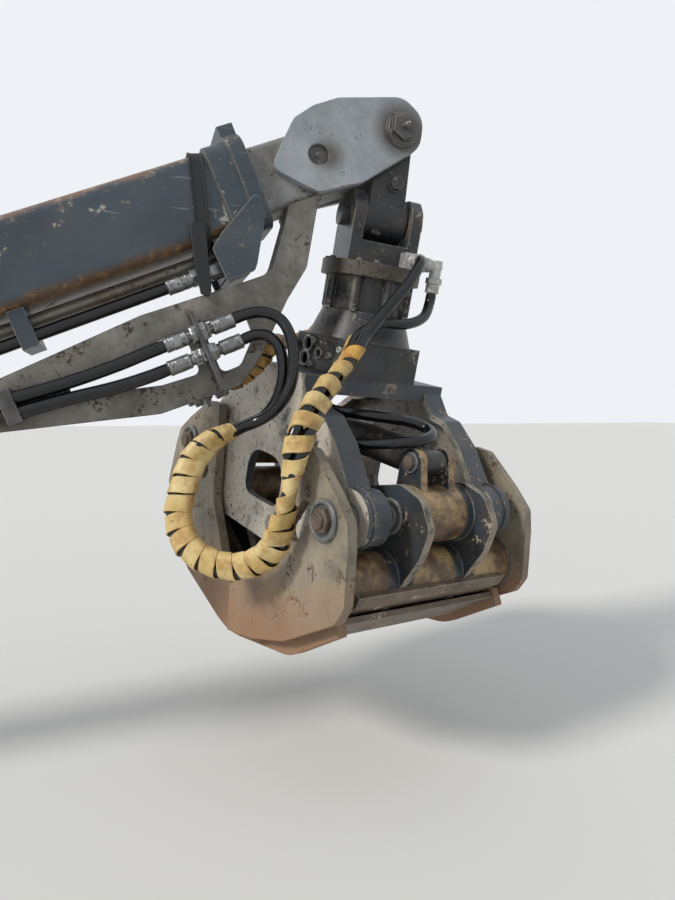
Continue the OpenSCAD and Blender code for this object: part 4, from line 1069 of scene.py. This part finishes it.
def make_strap(settings):
    """A rubber strap round the jib, ridged along its edges, with its tail hanging plumb."""
    lean = math.radians(STRAP_LEAN)
    slide = Matrix.Translation(Vector((STRAP_S * MM, 0, 0)))
    shape = Shape(BOOM @ slide @ Matrix.Rotation(lean, 4, "Y"))
    w, t = settings.strap_width / MM / 2, STRAP_T
    profile = [(-w, 0.3), (-w, t), (-w + 3, t), (-w + 4, t - 1.2), (w - 4, t - 1.2), (w - 3, t),
               (w, t), (w, 0.3)]
    loops = []
    flat = section_loop(BEAM_W, BEAM_H / math.cos(lean), CORNER_R)
    for k, (y, h) in enumerate(flat):
        ahead = Vector(flat[(k + 1) % len(flat)]) - Vector(flat[k - 1])
        out = Vector((ahead.y, -ahead.x)).normalized()
        loops.append([(x, y + out.x * lift, h + out.y * lift) for x, lift in profile])
    shape.rings(loops, closed=True)
    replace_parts(shape.piece("rubber_strap", "strap_rubber", "jib", "strap_rubber"), "strap")
    shape = Shape(BOOM)
    shape.rings([[(s, -BEAM_W / 2 - lift, h) for s, h in STRAP_TAIL]
                 for lift in (STRAP_T, 2 * STRAP_T)])
    tail = shape.piece("strap_end", "strap_rubber", "jib", "strap_rubber", bevel=1.5)
    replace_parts(tail, "strap_tail")


def make_welds(settings):
    """Weld beads where plates, tubes and bosses meet."""
    r = settings.bead_radius / MM
    runs = []
    for s, grow in ((COLLAR_S, 0), (MOUTH_S - BAND_LEN, SLEEVE_T)):
        loop = section_loop(BEAM_W + 2 * grow, BEAM_H + 2 * grow, CORNER_R + grow)
        runs.append([at(BOOM, (s, y, h)) for y, h in loop + loop[:1]])
    welds("jib_welds", runs, "jib", r)
    runs = [circle((side * (LEG_OUT - LEG_T), q, 0), HUB_R - 1)
            for side in (-1, 1) for q in (-PIVOT_Q, PIVOT_Q)]
    welds("crown_welds", runs, "rotor", r * 0.8)
    for jaw, sign, plate_out in JAWS:
        hub, tube = (PIVOT_Q, 0, HUB_R), (*STIFFENER, STIFFENER_R)
        runs = [circle((side * x, sign * q, z), radius) for side in (-1, 1)
                for x, (q, z, radius) in ((RIB_IN, tube), (RIB_IN + RIB_T, tube), (RIB_IN, hub),
                                          (plate_out - PLATE_T, tube))]
        welds(jaw + "_jaw_welds", runs, jaw + "_jaw", r * 0.8)


def ring(r, height, count, first):
    """Points of the rotator's head, evenly round its axis from the first one's angle."""
    angles = (math.radians(first + 360 / count * k) for k in range(count))
    return [(math.cos(a) * r, math.sin(a) * r, height) for a in angles]


def make_bolts(settings):
    """Bolts of the rotator's flange and housing, and grease nipples in the pins."""
    head_up = HEAD.to_3x3() @ UP
    # The flange's bolts leave out those under the clevis and under the elbows
    flange = [at(HEAD, (x, y, z)) for x, y, z in ring(FLANGE_BOLT_R, FLANGE_TOP, 16, 11)
              if (abs(x) > 80 or abs(y) > 66) and (y > -50 or x < 0)]
    bolts("flange_bolts", flange, head_up, 6.5, "dark_bolt")
    feet = [at(HEAD, p) for p in ring(TIE_BOLT_R, HOUSING_LOW + 4, 8, 12)]
    bolts("tie_bolts", feet, -head_up, 8, "bolt_steel")
    shape = Shape(BOOM)
    shape.nipple((0, -NOSE_W - TIP_T - 32, 0), (0, -1, 0))
    shape.piece("grease_nipples", "bolt_steel", "extension", "zinc")


def dress_frame(settings):
    """Gives each piece of the frame that stays in sight its finish."""
    for look, nodes in DRESSED.items():
        for node in nodes.split():
            mats = frame["nodes"][node].data.materials
            mats.clear()
            mats.append(finish(look))


def make_stage(settings):
    """Pale floor, one soft key light and an even sky."""
    low = CAD_BOX[0][2] - settings.floor_drop
    mesh = bpy.data.meshes.new("floor")
    mesh.from_pydata([(x * FLOOR_HALF, y * FLOOR_HALF, low)
                      for x, y in ((-1, -1), (1, -1), (1, 1), (-1, 1))], [], [(0, 1, 2, 3)])
    mesh.materials.append(finish("floor_paint"))
    placed("floor", mesh)
    key = bpy.data.lights.new("key", "SUN")
    key.energy = settings.key_strength
    key.angle = math.radians(12)
    key.color = (1.0, 0.965, 0.91)
    lamp = placed("key", key)
    lamp.rotation_euler = Vector((-0.85, -0.30, 0.62)).to_track_quat("Z", "Y").to_euler()
    world = bpy.data.worlds.new("sky")
    bpy.context.scene.world = world
    world.use_nodes = True
    tree = world.node_tree
    tree.nodes.clear()
    ray = add(tree, "ShaderNodeLightPath")
    seen = add(tree, MATH, {0: ray.outputs["Is Camera Ray"], 1: ray.outputs["Is Glossy Ray"]},
               operation="MAXIMUM")
    level = add(tree, RANGE, {0: seen, 3: settings.sky_strength, 4: 0.92})
    sky = add(tree, "ShaderNodeBackground", {"Color": (0.93, 0.96, 1.0, 1), "Strength": level})
    add(tree, "ShaderNodeOutputWorld", {0: sky})
    bpy.context.scene.view_settings.view_transform = "Standard"


# The add-on: settings, operators, panel
class HoseSettings(bpy.types.PropertyGroup):
    """Sizes of the spiral guard."""
    strip_width: FloatProperty(name="Strip width", description="Width of the guard's strip",
                               default=0.031, min=0.01, max=0.05, unit="LENGTH")
    tight_pitch: FloatProperty(name="Tight pitch", description="Pitch on the lower loop",
                               default=0.033, min=0.02, max=0.08, unit="LENGTH")
    open_pitch: FloatProperty(name="Open pitch", description="Pitch on the upper run",
                              default=0.046, min=0.02, max=0.08, unit="LENGTH")


class SteelSettings(bpy.types.PropertyGroup):
    """Sizes of the small steel and rubber pieces."""
    bead_radius: FloatProperty(name="Weld size", description="Radius of the weld beads",
                               default=0.004, min=0.001, max=0.01, unit="LENGTH")
    strap_width: FloatProperty(name="Strap width", description="Width of the rubber strap",
                               default=0.027, min=0.01, max=0.05, unit="LENGTH")


class StageSettings(bpy.types.PropertyGroup):
    """Camera, floor and light."""
    lens: FloatProperty(name="Lens", description="Focal length in millimetres",
                        default=36.053, min=10, max=200)
    floor_drop: FloatProperty(name="Floor drop", description="Floor below the grapple",
                              default=0.13, min=0, max=1, unit="LENGTH")
    key_strength: FloatProperty(name="Key light", description="Strength of the key light",
                                default=2.3, min=0, max=10)
    sky_strength: FloatProperty(name="Sky light", description="Strength of the sky",
                                default=0.62, min=0, max=2)


class GRAPPLE_OT_camera(bpy.types.Operator):
    """Places the camera"""
    bl_idname = "grapple.camera"
    bl_label = "Camera"

    def execute(self, context):
        place_camera(context.scene.grapple_stage)
        return {"FINISHED"}


class GRAPPLE_OT_hanging_hoses(bpy.types.Operator):
    """Makes the hanging hoses and their spiral guard"""
    bl_idname = "grapple.hanging_hoses"
    bl_label = "Hanging hoses"

    def execute(self, context):
        make_hanging_hoses(context.scene.grapple_hoses)
        return {"FINISHED"}


class GRAPPLE_OT_far_hoses(bpy.types.Operator):
    """Makes the wrapped bundle on the far side"""
    bl_idname = "grapple.far_hoses"
    bl_label = "Far hoses"

    def execute(self, context):
        make_far_hoses(context.scene.grapple_hoses)
        return {"FINISHED"}


class GRAPPLE_OT_carrier_hoses(bpy.types.Operator):
    """Makes the hoses of the carrier, the jib and the crown"""
    bl_idname = "grapple.carrier_hoses"
    bl_label = "Carrier hoses"

    def execute(self, context):
        make_carrier_hoses(context.scene.grapple_hoses)
        return {"FINISHED"}


class GRAPPLE_OT_fittings(bpy.types.Operator):
    """Makes the unions, nuts and ferrules"""
    bl_idname = "grapple.fittings"
    bl_label = "Fittings"

    def execute(self, context):
        make_fittings(context.scene.grapple_steel)
        return {"FINISHED"}


class GRAPPLE_OT_elbows(bpy.types.Operator):
    """Makes the elbows' nuts and the manifold's port rims"""
    bl_idname = "grapple.elbows"
    bl_label = "Elbows and ports"

    def execute(self, context):
        make_elbows(context.scene.grapple_steel)
        return {"FINISHED"}


class GRAPPLE_OT_pins(bpy.types.Operator):
    """Makes the jaw pins' discs and nuts"""
    bl_idname = "grapple.pins"
    bl_label = "Jaw pins"

    def execute(self, context):
        make_pins(context.scene.grapple_steel)
        return {"FINISHED"}


class GRAPPLE_OT_strap(bpy.types.Operator):
    """Makes the rubber strap"""
    bl_idname = "grapple.strap"
    bl_label = "Strap"

    def execute(self, context):
        make_strap(context.scene.grapple_steel)
        return {"FINISHED"}


class GRAPPLE_OT_welds(bpy.types.Operator):
    """Makes the weld beads"""
    bl_idname = "grapple.welds"
    bl_label = "Welds"

    def execute(self, context):
        make_welds(context.scene.grapple_steel)
        return {"FINISHED"}


class GRAPPLE_OT_bolts(bpy.types.Operator):
    """Makes the bolts and grease nipples"""
    bl_idname = "grapple.bolts"
    bl_label = "Bolts"

    def execute(self, context):
        make_bolts(context.scene.grapple_steel)
        return {"FINISHED"}


class GRAPPLE_OT_finishes(bpy.types.Operator):
    """Gives the frame's pieces their finishes"""
    bl_idname = "grapple.finishes"
    bl_label = "Finishes"

    def execute(self, context):
        dress_frame(context.scene.grapple_steel)
        return {"FINISHED"}


class GRAPPLE_OT_stage(bpy.types.Operator):
    """Makes the floor and the light"""
    bl_idname = "grapple.stage"
    bl_label = "Stage"

    def execute(self, context):
        make_stage(context.scene.grapple_stage)
        return {"FINISHED"}


STEPS = (GRAPPLE_OT_camera, GRAPPLE_OT_hanging_hoses, GRAPPLE_OT_far_hoses,
         GRAPPLE_OT_carrier_hoses, GRAPPLE_OT_fittings, GRAPPLE_OT_elbows, GRAPPLE_OT_pins,
         GRAPPLE_OT_strap, GRAPPLE_OT_welds, GRAPPLE_OT_bolts, GRAPPLE_OT_finishes,
         GRAPPLE_OT_stage)


class GRAPPLE_PT_panel(bpy.types.Panel):
    """Lists the steps in the sidebar"""
    bl_idname = "GRAPPLE_PT_panel"
    bl_label = "Jib and grapple"
    bl_space_type = "VIEW_3D"
    bl_region_type = "UI"
    bl_category = "Grapple"

    def draw(self, context):
        for step in STEPS:
            self.layout.operator(step.bl_idname)


SETTINGS = {"grapple_hoses": HoseSettings, "grapple_steel": SteelSettings,
            "grapple_stage": StageSettings}
CLASSES = (*SETTINGS.values(), *STEPS, GRAPPLE_PT_panel)


def register():
    for cls in CLASSES:
        bpy.utils.register_class(cls)
    for name, cls in SETTINGS.items():
        setattr(bpy.types.Scene, name, PointerProperty(type=cls))


def unregister():
    for name in SETTINGS:
        delattr(bpy.types.Scene, name)
    for cls in reversed(CLASSES):
        bpy.utils.unregister_class(cls)


def main():
    register()
    for step in STEPS:
        getattr(bpy.ops.grapple, step.bl_idname.split(".")[1])()


if __name__ == "__main__":
    main()
